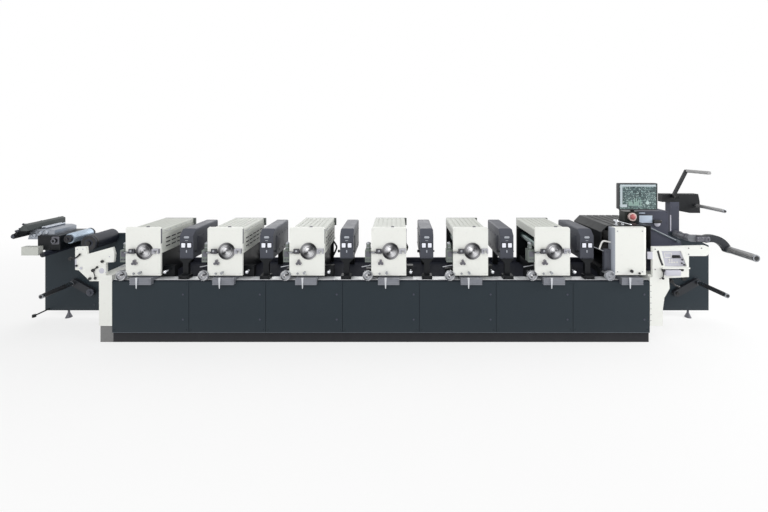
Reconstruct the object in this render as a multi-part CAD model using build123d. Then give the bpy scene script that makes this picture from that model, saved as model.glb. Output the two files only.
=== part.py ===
from build123d import *
import os

# Narrow-web in-line printing press, millimetres.
# X runs along the web from the unwind to the rewind, Y goes from the operator's side to the
# back, Z is up, and the origin is under the middle of the base, on the floor.

# Base
base_depth = 700.0
base_top = 674.0
plinth_height = 110.0
plinth_inset = 20.0
panel_thickness = 10.0
panel_gap = 4.0
panel_margin = 6.0
rail_width = 90.0
rail_height = 6.0
rail_from_front = 30.0
rear_beam_rise = 47.0
rear_beam_width = 25.0

# Row of stations along the base
unit_count = 6
unit_pitch = 890.0
first_unit_from_left = 339.0
die_closer = 49.0
die_from_right = 218.0

# End columns and the plates at both ends
column_width = 141.0
column_rise = 61.0
column_foot = 185.0
end_plate_thickness = 30.0
back_plate_from_back = 110.0
back_plate_thickness = 25.0
back_plate_foot = 90.0

# Print units, with heights taken from the top of the base
plate_width = 380.0
plate_rise = 59.0
plate_height = 524.0
plate_thickness = 25.0
plate_chamfer = 14.0
rear_plate_inset = 12.0
rear_lip = 24.0
unit_base_inset = 40.0
unit_base_rise = 35.0
shield_thickness = 8.0
shield_below_skirt = 12.0
lug_width = 60.0
side_box_width = 70.0
side_box_depth = 90.0
side_box_low = 200.0
side_box_high = 330.0
side_cylinder_radius = 24.0
side_cylinder_height = 62.0

# Hood over each print unit: top sheet, side band, groove and louvred skirt
hood_inset = 5.0
hood_below_plate = 28.0
hood_sheet = 8.0
hood_band_right = 46.0
hood_band_left = 90.0
skirt_step = 6.0
skirt_gap = 8.0
skirt_height = 200.0
skirt_rail = 14.0
hood_groove_count = 6
hood_groove_width = 10.0
hood_groove_depth = 4.0
hood_groove_margin = 40.0
louvre_count = 5
louvre_rows = 3
louvre_length = 74.0
louvre_height = 9.0
louvre_pitch = 104.0
louvre_row_pitch = 44.0

# Cylinders and rollers of a print unit
cylinder_offset = 18.0
impression_floor = 13.0
cylinder_radius = 70.0
journal_radius = 55.0
journal_proud = 12.0
rear_journal_radius = 30.0
ring_radius = 91.5
ring_proud = 8.0
shaft_clearance = 0.1
running_gap = 5.0
impression_radius = 72.0
impression_shift = 36.0
inking_radius = 42.0
inking_rise = 20.0

# Slide bar and its clamps on the front plate
slide_below_axis = 22.0
slide_height = 16.0
slide_depth = 14.0
slide_reach = 215.0
clamp_depth = 30.0
clamp_height = 50.0
clamp_width = 62.0
clamp_gap = 3.0
hook_width = 72.0
hook_bar = 14.0

# Dryer beside each print unit
dryer_shift = 25.0
dryer_width = 148.0
dryer_low = 216.0
dryer_high = 536.0
dryer_from_front = 90.0
dryer_from_back = 50.0
dryer_slope = 66.0
dryer_edge_radius = 16.0
hanger_drop = 46.0
stem_width = 60.0
stem_depth = 40.0
foot_width = 110.0
foot_depth = 84.0
foot_height = 40.0

# Trays, levers, handwheels and knobs
tray_width = 230.0
tray_reach = 48.0
tray_drop = 26.0
tray_rise = 45.0
tray_rib_count = 3
tray_rib_depth = 5.0
tray_clearance = 2.0
lever_offset = 33.0
lever_width = 24.0
lever_tip_width = 10.0
lever_thickness = 12.0
lever_drop = 60.0
lever_rise = 54.0
handwheel_from_edge = 38.0
handwheel_rise = 65.0
handwheel_radius = 57.0
handwheel_flute_depth = 5.0
handwheel_flutes = 14
handwheel_depth = 26.0
handwheel_shaft_radius = 12.0
lobe_knob_offset = 87.0
lobe_knob_rise = 203.0
lobe_knob_reach = 19.0
lobe_radius = 14.0
lobe_knob_depth = 22.0
pull_offset = 22.0
pull_rise = 97.0
pull_radius = 12.0
pull_depth = 26.0
ball_from_edge = 49.0
ball_rise = 98.0
ball_radius = 14.0
ball_sides = 10
ball_length = 24.0
stalk_width = 12.0

# Die station, with heights taken from the top of the base
die_width = 380.0
die_low = 65.0
die_high = 576.0
die_cover_depth = 80.0
die_corner_radius = 34.0
die_rear_drop = 80.0
die_hood_left = 272.0
die_hood_right = 284.0
die_hood_rise = 584.0
die_hood_skirt = 260.0
die_hood_shoulder = 70.0
die_hood_rib_count = 5
die_hood_rib_width = 14.0
die_hood_rib_depth = 5.0
die_roller_places = [(40.0, 206.0, 70.0), (40.0, 356.0, 70.0), (-90.0, 286.0, 45.0)]

# Unwind end: places from the left end of the base and from its top
infeed_outline = [(-141, -2), (-239, -2), (-361, 116), (-400, 122), (-400, 366), (-283, 371),
                  (-273, 289), (5, 366), (27, 294), (17, 205), (-67, 200), (-67, 61), (0, 61)]
unwind_plate_outline = [(-1291, 186), (-1096, 326), (-676, 326), (-676, 378), (0, 378)]
unwind_reach = 906.0
unwind_drop = 228.0
arm_run = 210.0
arm_fall = 116.0
small_mandrel_radius = 25.4
mandrel_length = 410.0
mandrel_journal_radius = 16.0
shoulder_gap = 3.0
journal_end_gap = 1.0
arm_thickness = 40.0
hub_radius = 42.0
pedal_reach = 1241.0
pedal_height = 110.0
pedal_length = 190.0
pedal_radius = 8.0
pad_radius = 20.0
pad_height = 30.0
table_outline = [(-1246, 446), (-1096, 588), (-1061, 571), (-1061, 506), (-1166, 506),
                 (-1200, 430)]
table_nose = (-1217.0, 449.0, 28.0)
table_from_front = 140.0
guide_block_outline = [(-1176, 386), (-1031, 386), (-1031, 436), (-866, 436), (-866, 491),
                       (-920, 506), (-1136, 506)]
guide_block_from_front = 260.0
guide_block_depth = 290.0
guide_box_size = (258.0, 165.0)
guide_box_reach = 1031.0
guide_box_low = 271.0
guide_box_from_front = 230.0
boss_offset = 54.0
boss_rise = 110.0
boss_radius = 27.0
boss_proud = 30.0
flap_size = (191.0, 95.0)
flap_reach = 1160.0
flap_low = 226.0
flap_depth = 60.0
low_roller = (-892.0, 241.0, 28.0)
low_roller_from_front = 140.0
silver_roller = (-708.0, 391.0, 45.0)
silver_roller_from_front = 250.0
collar_radius = 60.0
collar_width = 20.0
large_roller = (-456.0, 346.0, 88.0)
large_roller_from_front = 240.0

# Rewind end: places from the right end of the base and from its top
outfeed_outline = [(0, 43), (29, 43), (29, 369), (596, 383), (596, 271), (424, 271),
                   (424, 43), (206, 32), (214, -83), (158, -180), (141, -305)]
outfeed_nose = (596.0, 327.0, 56.0)
desk_outline = [(126, 326), (336, 326), (401, 158), (166, 158)]
desk_clearance = 2.0
desk_inset = 10.0
desk_depth = 120.0
desk_low = 66.0
desk_high = 340.0
desk_left = 112.0
desk_right = 411.0
shelf_left = 118.0
shelf_right = 409.0
shelf_reach = 36.0
shelf_height = 14.0
shelf_drop = 16.0
rewind_plate_right = 1136.0
rewind_plate_corner = 796.0
rewind_plate_rise = 391.0
rewind_plate_right_rise = 226.0
lower_mandrel_reach = 966.0
lower_mandrel_drop = 219.0
lower_arm_run = 250.0
lower_arm_fall = 140.0
rewind_reach = 1156.0
rewind_rise = 246.0
rewind_mandrel_radius = 38.1
rewind_mandrel_length = 340.0
rewind_journal_radius = 19.0
tube_reach = 716.0
tube_rise = 376.0
tube_radius = 37.5
clamp_reach = 900.0
clamp_rise = 366.0
clamp_thickness = 76.0
crank_bend = (1080.0, 336.0)
crank_width = 84.0
crank_thickness = 50.0
crank_from_plate = 200.0
column_reach = 710.0
column_size = 116.0
column_depth = 80.0
column_top_rise = 767.0
head_width = 94.0
head_height = 100.0
head_bar_height = 45.0
waste_box_outline = [(0, 867), (238, 867), (256, 780), (262, 630), (132, 630), (0, 655)]
waste_reach = 203.0
waste_rise = 726.0
waste_radius = 19.5
waste_length = 410.0
waste_journal_radius = 12.0
rider_pivot = (680.0, 838.0)
rider_tip = (842.0, 1156.0)
rider_width = 33.0
rider_rod_radius = 20.0
rider_rod_length = 330.0
rider_thickness = 30.0
foot_reach_left = 1006.0
foot_reach_right = 886.0
foot_cone = (38.0, 12.0, 60.0)

# Deck, console and screen at the rewind end
deck_reach = 456.0
deck_edge_rise = 391.0
deck_edge_thickness = 60.0
deck_from_front = 150.0
console_left = 66.0
console_right = 440.0
console_rise = 700.0
console_front = 330.0
console_depth = 220.0
stop_box_width = 155.0
stop_box_front = 300.0
stop_box_depth = 110.0
stop_button_radius = 30.0
stop_button_depth = 26.0
screen_inset = 30.0
screen_width = 449.0
screen_rise = 736.0
screen_height = 300.0
screen_thickness = 45.0
screen_front = 255.0
screen_edge_radius = 10.0
stem_radius = 22.0
stem_from_screen = 60.0
neck_height = 90.0
neck_drop = 10.0
face_gap = 0.3

# Places that follow from the sizes above
last_unit_run = (unit_count - 1) * unit_pitch
die_pitch = unit_pitch - die_closer
base_length = first_unit_from_left + last_unit_run + die_pitch + die_from_right
front = -base_depth / 2
back = base_depth / 2
left = -base_length / 2
right = base_length / 2
panel_count = unit_count + 1
unit_places = [left + first_unit_from_left + i * unit_pitch for i in range(unit_count)]
die_x = right - die_from_right
plate_back = front + plate_thickness
rear_plate_y = back - rear_beam_width - plate_thickness
plate_bottom = base_top + plate_rise
plate_top = plate_bottom + plate_height
impression_z = plate_bottom + unit_base_rise + impression_floor + impression_radius
cylinder_z = impression_z + impression_radius + running_gap + cylinder_radius
hood_width = plate_width - 2 * hood_inset
hood_top = plate_top - hood_below_plate
band_bottom = hood_top - hood_band_right
skirt_top = band_bottom - skirt_gap
skirt_bottom = skirt_top - skirt_height
behind_rail = front + rail_from_front + rail_width
column_top = base_top + column_rise
back_plate_y = back - back_plate_from_back
end_plate_back = front + end_plate_thickness
die_top = base_top + die_high
die_bottom = base_top + die_low
die_hood_top = base_top + die_hood_rise
deck_left = die_x + die_hood_right
deck_right = right + deck_reach


def block(x0, x1, y0, y1, z0, z1):
    """A box between two corners."""
    middle = ((x0 + x1) / 2, (y0 + y1) / 2, (z0 + z1) / 2)
    return Pos(*middle) * Box(x1 - x0, y1 - y0, z1 - z0)


def rod(x, z, y0, y1, radius):
    """A round bar along Y."""
    return Pos(x, (y0 + y1) / 2, z) * Rot(90, 0, 0) * Cylinder(radius, y1 - y0)


def post(x, y, z0, z1, radius):
    """A round bar along Z."""
    return Pos(x, y, (z0 + z1) / 2) * Cylinder(radius, z1 - z0)


def outline(points):
    """A closed flat outline with straight sides."""
    return make_face(Polyline(*points, close=True))


def moved(points, x, z):
    """The points of an outline, carried to the place that they are measured from."""
    return [(x + px, z + pz) for px, pz in points]


def plate(face, y0, y1):
    """A flat outline drawn in X and Z, made solid between two depths."""
    return extrude(Plane.XZ.offset(-y1) * face, y1 - y0)


def slab(face, x0, x1):
    """A flat outline drawn in Y and Z, made solid between two places along the press."""
    return extrude(Plane.YZ.offset(x0) * face, x1 - x0)


def link(x0, z0, x1, z1, width, y0, y1):
    """A flat bar with round ends between two centres, in a plane of constant Y."""
    start = Vector(x0, z0)
    end = Vector(x1, z1)
    along = end - start
    middle = (start + end) * 0.5
    angle = Vector(1, 0, 0).get_signed_angle(along, Vector(0, 0, 1))
    shape = Pos(middle.X, middle.Y) * Rot(0, 0, angle) * SlotCenterToCenter(along.length, width)
    return plate(shape, y0, y1)


def mandrel(x, z, shoulder, y_end, length, radius, journal):
    """A plain shaft for a core, stepped down to the journal that turns in its arm."""
    root = shoulder - shoulder_gap
    return rod(x, z, root - length, root, radius) + rod(x, z, root, y_end, journal)


def save(name, *shapes):
    """Writes one sub-part, as one solid or as several that don't touch."""
    solids = [solid for shape in shapes for solid in shape.solids()]
    whole = solids[0] if len(solids) == 1 else Compound(solids)
    export_step(whole, f"parts/{name}.step")


# Base: plinth, closed cabinet, front and rear panels, rail and rear beam
def make_base():
    y0 = front + plinth_inset
    y1 = back - plinth_inset
    plinth = block(left, right, y0, y1, 0, plinth_height)
    end_plinth = block(left - column_width, left, y0, y1, 0, column_foot)
    save("plinth", plinth + end_plinth)
    save("base_cabinet", block(left, right, front + panel_thickness, back - panel_thickness,
                               plinth_height, base_top))
    width = base_length / panel_count
    low = plinth_height + panel_margin
    high = base_top - panel_margin
    fronts = []
    rears = []
    for i in range(panel_count):
        x0 = left + i * width + panel_gap / 2
        x1 = left + (i + 1) * width - panel_gap / 2
        fronts.append(block(x0, x1, front, front + panel_thickness, low, high))
        rears.append(block(x0, x1, back - panel_thickness, back, low, high))
    save("front_panels", *fronts)
    save("rear_panels", *rears)
    rail_y = front + rail_from_front
    save("deck_rail", block(left, right, rail_y, rail_y + rail_width,
                            base_top, base_top + rail_height))
    save("rear_beam", block(left, right, back - rear_beam_width, back,
                            base_top, base_top + rear_beam_rise))


# Base of a print unit, with the lugs of the handwheel and of the ball and the right shield
def unit_base(x):
    half = plate_width / 2 - unit_base_inset
    high = plate_bottom + unit_base_rise
    step = [(behind_rail, base_top), (rear_plate_y, base_top), (rear_plate_y, high),
            (plate_back, high), (plate_back, plate_bottom), (behind_rail, plate_bottom)]
    body = slab(outline(step), x - half, x + half)
    lug_x = x - plate_width / 2 - handwheel_from_edge
    lug = block(lug_x - lug_width / 2, x - half, behind_rail, behind_rail + lug_width,
                base_top, base_top + handwheel_rise + lug_width / 2)
    ball_x = x + plate_width / 2 + ball_from_edge
    ball_lug = block(x + half, ball_x + lug_width / 2, behind_rail,
                     behind_rail + lug_width, base_top, base_top + ball_rise + lug_width / 2)
    shield = block(x + half - shield_thickness, x + half, plate_back, rear_plate_y,
                   plate_bottom, skirt_bottom - shield_below_skirt)
    return body + lug + ball_lug + shield


def front_plate(x):
    half = plate_width / 2
    c = plate_chamfer
    points = [(x - half, plate_bottom), (x + half, plate_bottom), (x + half, plate_top - c),
              (x + half - c, plate_top), (x - half + c, plate_top), (x - half, plate_top - c)]
    body = plate(outline(points), front, plate_back)
    return body - rod(x + cylinder_offset, cylinder_z, front, plate_back, ring_radius)


def rear_plate(x):
    """The back side plate, with the lip that shows past the hood's right edge."""
    half = plate_width / 2 - rear_plate_inset
    y1 = rear_plate_y + plate_thickness
    body = block(x - half, x + half, rear_plate_y, y1, base_top, hood_top)
    body += block(x + half, x + hood_width / 2 + rear_lip, rear_plate_y, y1,
                  hood_top - hood_band_left, hood_top)
    bore = rear_journal_radius + shaft_clearance
    return body - rod(x + cylinder_offset, cylinder_z, rear_plate_y, y1, bore)


def bearing_ring(x):
    cx = x + cylinder_offset
    ring = rod(cx, cylinder_z, front - ring_proud, plate_back, ring_radius)
    bore = journal_radius + shaft_clearance
    return ring - rod(cx, cylinder_z, front - ring_proud, plate_back, bore)


def print_cylinder(x):
    cx = x + cylinder_offset
    barrel_front = plate_back + running_gap
    barrel_back = rear_plate_y - running_gap
    barrel = rod(cx, cylinder_z, barrel_front, barrel_back, cylinder_radius)
    front_journal = rod(cx, cylinder_z, front - journal_proud, barrel_front, journal_radius)
    rear_journal = rod(cx, cylinder_z, barrel_back, rear_plate_y + plate_thickness,
                       rear_journal_radius)
    return barrel + front_journal + rear_journal


def unit_roller(x, z, radius):
    """A roller carried between the two side plates."""
    return rod(x, z, plate_back, rear_plate_y, radius)


def side_box(x):
    """The small valve box on the plate's left edge, with its upright cylinder."""
    x1 = x - plate_width / 2
    x0 = x1 - side_box_width
    y0 = front + plate_thickness / 2
    low = base_top + side_box_low
    high = base_top + side_box_high
    box = block(x0, x1, y0, y0 + side_box_depth, low, high)
    middle = (x0 + x1) / 2
    return box + post(middle, y0 + side_box_depth / 2, high, high + side_cylinder_height,
                      side_cylinder_radius)


# Hood of a print unit: one bent sheet with a grooved top and a louvred skirt on the right
def unit_hood(x):
    half = hood_width / 2
    t = hood_sheet
    x0 = x - half
    x1 = x + half
    skirt_x = x1 + skirt_step
    rail_x = skirt_x + skirt_rail / 2
    points = [(x0, hood_top - hood_band_left), (x0, hood_top - t), (x0 + t, hood_top),
              (x1 - t, hood_top), (x1, hood_top - t), (x1, band_bottom),
              (x1 - t / 2, skirt_top), (skirt_x, skirt_top),
              (skirt_x, skirt_bottom + skirt_rail), (rail_x, skirt_bottom + skirt_rail),
              (rail_x, skirt_bottom), (skirt_x - t, skirt_bottom),
              (skirt_x - t, skirt_top - t), (x1 - 2 * t, skirt_top - t),
              (x1 - 2 * t, hood_top - t), (x0 + t, hood_top - t),
              (x0 + t, hood_top - hood_band_left)]
    body = plate(outline(points), plate_back, rear_plate_y)
    cuts = []
    pitch = hood_width / (hood_groove_count + 1)
    for i in range(hood_groove_count):
        gx = x0 + (i + 1) * pitch
        cuts.append(block(gx - hood_groove_width / 2, gx + hood_groove_width / 2,
                          plate_back + hood_groove_margin, rear_plate_y - hood_groove_margin,
                          hood_top - hood_groove_depth, hood_top))
    middle_y = (plate_back + rear_plate_y) / 2
    middle_z = (skirt_top + skirt_bottom) / 2
    for row in range(louvre_rows):
        z = middle_z + (row - (louvre_rows - 1) / 2) * louvre_row_pitch
        for i in range(louvre_count):
            y = middle_y + (i - (louvre_count - 1) / 2) * louvre_pitch
            cuts.append(block(skirt_x - t, skirt_x, y - louvre_length / 2,
                              y + louvre_length / 2, z - louvre_height / 2,
                              z + louvre_height / 2))
    return body - cuts


def make_units():
    bases = []
    fronts = []
    rears = []
    rings = []
    rollers = []
    hoods = []
    boxes = []
    reach = cylinder_radius + inking_radius + running_gap
    inking_z = cylinder_z + inking_rise
    for i, x in enumerate(unit_places):
        cx = x + cylinder_offset
        bases.append(unit_base(x))
        fronts.append(front_plate(x))
        rears.append(rear_plate(x))
        rings.append(bearing_ring(x))
        hoods.append(unit_hood(x))
        boxes.append(side_box(x))
        rollers.append(unit_roller(cx + impression_shift, impression_z, impression_radius))
        rollers.append(unit_roller(cx - reach, inking_z, inking_radius))
        save(f"print_cylinder_{i + 1}", print_cylinder(x))
    save("unit_bases", *bases)
    save("unit_front_plates", *fronts)
    save("unit_rear_plates", *rears)
    save("bearing_rings", *rings)
    save("unit_rollers", *rollers)
    save("unit_hoods", *hoods)
    save("side_boxes", *boxes)


# Slide bar, its left clamp and the hooked clamp on the right
def slide_bars(x):
    low = cylinder_z - slide_below_axis
    high = low + slide_height
    cx = x + cylinder_offset
    bar = block(x - slide_reach, cx - ring_radius, front - slide_depth, front, low, high)
    clamp_x = cx - ring_radius - clamp_gap
    clamp = block(clamp_x - clamp_width, clamp_x, front - clamp_depth, front - slide_depth,
                  low, low + clamp_height)
    x0 = cx + ring_radius + clamp_gap
    x1 = x0 + hook_width
    top = low + clamp_height
    hook = [(x0, low), (x0 + clamp_width / 2, low), (x0 + clamp_width / 2, top - hook_bar),
            (x1 - hook_bar, top - hook_bar), (x1 - hook_bar, low), (x1, low), (x1, top),
            (x0, top)]
    return [bar + clamp, plate(outline(hook), front - clamp_depth, front)]


def ink_tray(x):
    """A shallow tray that hangs out over the rail, with ribs along its front lip."""
    low = base_top - tray_drop
    high = base_top + tray_rise
    y0 = front - tray_reach
    pitch = (high - low) / (2 * tray_rib_count + 1)
    points = [(front - tray_clearance, low), (y0, low)]
    for i in range(tray_rib_count):
        z = low + (2 * i + 1) * pitch
        points += [(y0, z), (y0 + tray_rib_depth, z), (y0 + tray_rib_depth, z + pitch),
                   (y0, z + pitch)]
    points += [(y0, high), (behind_rail, high), (behind_rail, base_top + rail_height),
               (front - tray_clearance, base_top + rail_height)]
    return slab(outline(points), x - tray_width / 2, x + tray_width / 2)


def tray_lever(x):
    """A tapered lever that hangs on the tray's lip."""
    lx = x - lever_offset
    high = base_top + lever_rise
    low = base_top - lever_drop
    top = lever_width / 2
    tip = lever_tip_width / 2
    points = [(lx - top, high), (lx + top, high), (lx + tip, low), (lx - tip, low)]
    y1 = front - tray_reach
    return plate(outline(points), y1 - lever_thickness, y1)


def handwheel(x, half_width):
    """A round wheel with a fluted rim, on the shaft that carries it in its lug."""
    wheel_x = x - half_width - handwheel_from_edge
    wheel_z = base_top + handwheel_rise
    low = handwheel_radius - handwheel_flute_depth
    points = []
    for i in range(handwheel_flutes):
        points.append(Vector(handwheel_radius, 0).rotate(Axis.Z, i * 360 / handwheel_flutes))
        points.append(Vector(low, 0).rotate(Axis.Z, (i + 0.5) * 360 / handwheel_flutes))
    face = Pos(wheel_x, wheel_z) * outline([(p.X, p.Y) for p in points])
    rim = plate(face, front - handwheel_depth, front)
    return rim + rod(wheel_x, wheel_z, front, behind_rail, handwheel_shaft_radius)


def lobe_knob(x):
    """A knob of three round lobes round its middle."""
    kx = x - lobe_knob_offset
    kz = base_top + lobe_knob_rise
    face = Pos(kx, kz) * Circle(lobe_radius)
    for angle in (90, 210, 330):
        arm = Vector(lobe_knob_reach, 0).rotate(Axis.Z, angle)
        face += Pos(kx + arm.X, kz + arm.Y) * Circle(lobe_radius)
    return plate(face, front - lobe_knob_depth, front)


def ball_knob(x):
    """A many-sided ball on its square stalk."""
    bx = x + plate_width / 2 + ball_from_edge
    bz = base_top + ball_rise
    half = stalk_width / 2
    stalk_front = front + ball_length / 2
    face = Pos(bx, bz) * RegularPolygon(ball_radius, ball_sides)
    ball = plate(face, front - ball_length / 2, stalk_front)
    return ball + block(bx - half, bx + half, stalk_front, behind_rail, bz - half, bz + half)


def make_fittings():
    stations = unit_places + [die_x]
    pulls = []
    for x in unit_places:
        face = Pos(x - pull_offset, base_top + pull_rise) * RegularPolygon(pull_radius, 6)
        pulls.append(plate(face, front - pull_depth, front))
    save("slide_bars", *[piece for x in unit_places for piece in slide_bars(x)])
    save("ink_trays", *[ink_tray(x) for x in stations])
    save("tray_levers", *[tray_lever(x) for x in stations])
    wheels = [handwheel(x, plate_width / 2) for x in unit_places]
    save("handwheels", *wheels, handwheel(die_x, die_width / 2))
    save("adjuster_knobs", *[lobe_knob(x) for x in unit_places], *pulls,
         *[ball_knob(x) for x in unit_places])


# Dryer: a head with a sloping front and rounded edges, on two stems
def make_dryers():
    heads = []
    stems = []
    y0 = front + dryer_from_front
    y1 = back - dryer_from_back
    low = base_top + dryer_low
    high = base_top + dryer_high
    slope = [(y0, low), (y1, low), (y1, high), (y0 + dryer_slope, high),
             (y0, high - dryer_slope)]
    rail_y = front + rail_from_front
    clamp_top = base_top + rail_height + foot_height
    stem_y = rail_y + foot_depth
    half = stem_width / 2
    for unit_x in unit_places:
        x = unit_x + unit_pitch / 2 - dryer_shift
        head = slab(outline(slope), x - dryer_width / 2, x + dryer_width / 2)
        ridge = head.edges().filter_by(Axis.Y).group_by(Axis.Z)[-1]
        heads.append(fillet(ridge, dryer_edge_radius))
        foot = block(x - foot_width / 2, x + foot_width / 2, rail_y, rail_y + foot_depth,
                     base_top + rail_height, clamp_top)
        stem = block(x - half, x + half, stem_y - stem_depth, stem_y, clamp_top,
                     low - hanger_drop)
        hanger = plate(outline([(x - half, low - hanger_drop), (x + half, low - hanger_drop),
                                (x + dryer_width / 2, low), (x - dryer_width / 2, low)]),
                       stem_y - stem_depth, stem_y)
        stems.append(foot + stem + hanger)
        rear_y = y1 - 2 * stem_depth
        stems.append(block(x - half, x + half, rear_y, rear_y + stem_depth, base_top, low))
    save("dryer_heads", *heads)
    save("dryer_stems", *stems)


# Die station: a box cover in front, a rear plate, rollers and a ribbed hood
def die_hood():
    x0 = die_x - die_hood_left
    x1 = die_x + die_hood_right
    low = die_hood_top - die_hood_skirt
    rise = die_hood_shoulder
    t = hood_sheet
    top = die_hood_top
    outer = [(x0, low), (x0, top - rise), (x0 + rise, top), (x1, top), (x1, low)]
    inner = [(x0 + t, low), (x0 + t, top - rise - t / 2), (x0 + rise + t / 2, top - t),
             (x1 - t, top - t), (x1 - t, low)]
    y0 = front + die_cover_depth
    body = plate(outline(outer), y0, back) - plate(outline(inner), y0, back)
    pitch = (x1 - x0 - rise) / (die_hood_rib_count + 1)
    half = die_hood_rib_width / 2
    for i in range(die_hood_rib_count):
        gx = x0 + rise + (i + 1) * pitch
        body -= block(gx - half, gx + half, y0, back, top - die_hood_rib_depth, top)
    return body


def make_die_station():
    half = die_width / 2
    behind = front + die_cover_depth
    cover = block(die_x - half, die_x + half, front, behind, die_bottom, die_top)
    corner = cover.edges().filter_by(Axis.Z).sort_by(Axis.Y)[0:2]
    save("die_cover", fillet(corner, die_corner_radius))
    base = block(die_x - half, die_x + half, behind_rail, rear_plate_y, base_top, die_bottom)
    lug = block(die_x - half - handwheel_from_edge - lug_width / 2, die_x - half, behind_rail,
                behind_rail + lug_width, base_top, base_top + handwheel_rise + lug_width / 2)
    neck_half = half - hood_sheet * 2
    neck = block(die_x - neck_half, die_x + neck_half, behind, rear_plate_y, die_bottom,
                 die_bottom + unit_base_rise)
    rear = block(die_x - half, die_x + half, rear_plate_y, rear_plate_y + plate_thickness,
                 base_top, die_top - die_rear_drop)
    save("die_frame", base + lug + neck, rear)
    save("die_hood", die_hood())
    save("die_rollers", *[rod(die_x + dx, base_top + dz, behind, rear_plate_y, radius)
                          for dx, dz, radius in die_roller_places])


# Unwind end
def make_unwind():
    y0 = back_plate_y
    y1 = back_plate_y + back_plate_thickness
    column_left = left - column_width
    foot = [(left, column_foot), (column_left, column_foot)]
    save("infeed_plate", plate(outline(moved(infeed_outline, left, base_top) + foot), front,
                               end_plate_back))
    save("left_column", block(column_left, left, end_plate_back, back, column_foot, column_top))
    edge = moved(unwind_plate_outline, left, base_top)
    foot = [(left, column_top), (column_left, column_top), (column_left, back_plate_foot),
            (edge[0][0], back_plate_foot)]
    save("unwind_plate", plate(outline(edge + foot), y0, y1))
    pedal_x = left - pedal_reach
    pedal_y = y0 - pedal_length
    pedal = rod(pedal_x, pedal_height, pedal_y, y0, pedal_radius)
    pad = post(pedal_x, pedal_y, pedal_height - pad_height / 2, pedal_height + pad_height / 2,
               pad_radius)
    save("foot_pedal", pedal + pad)
    table_y = front + table_from_front
    nose_x, nose_z, nose_radius = table_nose
    table = plate(outline(moved(table_outline, left, base_top)), table_y, y1)
    save("splice_table", table + rod(left + nose_x, base_top + nose_z, table_y, y1,
                                     nose_radius))
    block_y = front + guide_block_from_front
    save("guide_block", plate(outline(moved(guide_block_outline, left, base_top)), block_y,
                              block_y + guide_block_depth))
    box_x = left - guide_box_reach
    box_y = front + guide_box_from_front
    box_z = base_top + guide_box_low
    box = block(box_x, box_x + guide_box_size[0], box_y, y0, box_z, box_z + guide_box_size[1])
    boss_x = box_x + guide_box_size[0] - boss_offset
    save("guide_box", box + rod(boss_x, box_z + boss_rise, box_y - boss_proud, box_y,
                                boss_radius))
    flap_x = left - flap_reach
    flap_z = base_top + flap_low
    save("web_flap", block(flap_x, flap_x + flap_size[0], box_y - flap_depth, box_y, flap_z,
                           flap_z + flap_size[1]))
    rollers = []
    for place, from_front in ((low_roller, low_roller_from_front),
                              (silver_roller, silver_roller_from_front),
                              (large_roller, large_roller_from_front)):
        x, z, radius = place
        rollers.append(rod(left + x, base_top + z, front + from_front, y0, radius))
    x, z, radius = silver_roller
    rollers[1] += rod(left + x, base_top + z, y0 - 2 * collar_width, y0 - collar_width,
                      collar_radius)
    save("infeed_rollers", *rollers)


# Mandrels of the 2 inch cores at both ends, on arms that leave the back plates
def make_small_mandrels():
    y0 = back_plate_y
    shoulder = y0 - arm_thickness
    bore = mandrel_journal_radius + shaft_clearance
    arms = []
    for name, x, z, root_x, root_z in (
            ("unwind_mandrel", left - unwind_reach, base_top - unwind_drop,
             left - unwind_reach + arm_run, base_top - unwind_drop - arm_fall),
            ("lower_mandrel", right + lower_mandrel_reach, base_top - lower_mandrel_drop,
             right + lower_mandrel_reach - lower_arm_run,
             base_top - lower_mandrel_drop - lower_arm_fall)):
        arm = link(x, z, root_x, root_z, 2 * hub_radius, shoulder, y0)
        arms.append(arm - rod(x, z, shoulder, y0, bore))
        save(name, mandrel(x, z, shoulder, y0 - journal_end_gap, mandrel_length,
                           small_mandrel_radius, mandrel_journal_radius))
    save("mandrel_arms", *arms)


# Front plate of the rewind end, its column, back plate and control desk
def make_outfeed():
    nose_x, nose_z, nose_radius = outfeed_nose
    column_right = right + column_width
    foot = [(column_right, column_foot), (right, column_foot)]
    body = plate(outline(moved(outfeed_outline, right, base_top) + foot), front, end_plate_back)
    body += rod(right + nose_x, base_top + nose_z, front, end_plate_back, nose_radius)
    opening = outline(moved(desk_outline, right, base_top))
    body -= plate(opening, front, end_plate_back)
    shelf_z = base_top + desk_outline[2][1] - shelf_drop
    body += block(right + shelf_left, right + shelf_right, front - shelf_reach, front, shelf_z,
                  shelf_z + shelf_height)
    save("outfeed_plate", body)
    save("right_column", block(right, column_right, end_plate_back, back, column_foot,
                               column_top))
    plate_right = right + rewind_plate_right
    edge = [(column_right, back_plate_foot), (column_right, base_top + rewind_plate_rise),
            (right + rewind_plate_corner, base_top + rewind_plate_rise),
            (plate_right, base_top + rewind_plate_right_rise), (plate_right, back_plate_foot)]
    save("rewind_plate", plate(outline(edge), back_plate_y,
                               back_plate_y + back_plate_thickness))
    face = offset(opening, -desk_clearance, kind=Kind.INTERSECTION)
    desk = block(right + desk_left, right + desk_right, end_plate_back,
                 end_plate_back + desk_depth, base_top + desk_low, base_top + desk_high)
    save("control_desk", desk + plate(face, front + desk_inset, end_plate_back))


# Deck that slopes from the die hood to the rewind, with the console, stop box and screen
def deck_height(x):
    """Height of the deck's sloping top at a place along the press."""
    edge = base_top + deck_edge_rise
    return die_hood_top + (x - deck_left) / (deck_right - deck_left) * (edge - die_hood_top)


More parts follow.
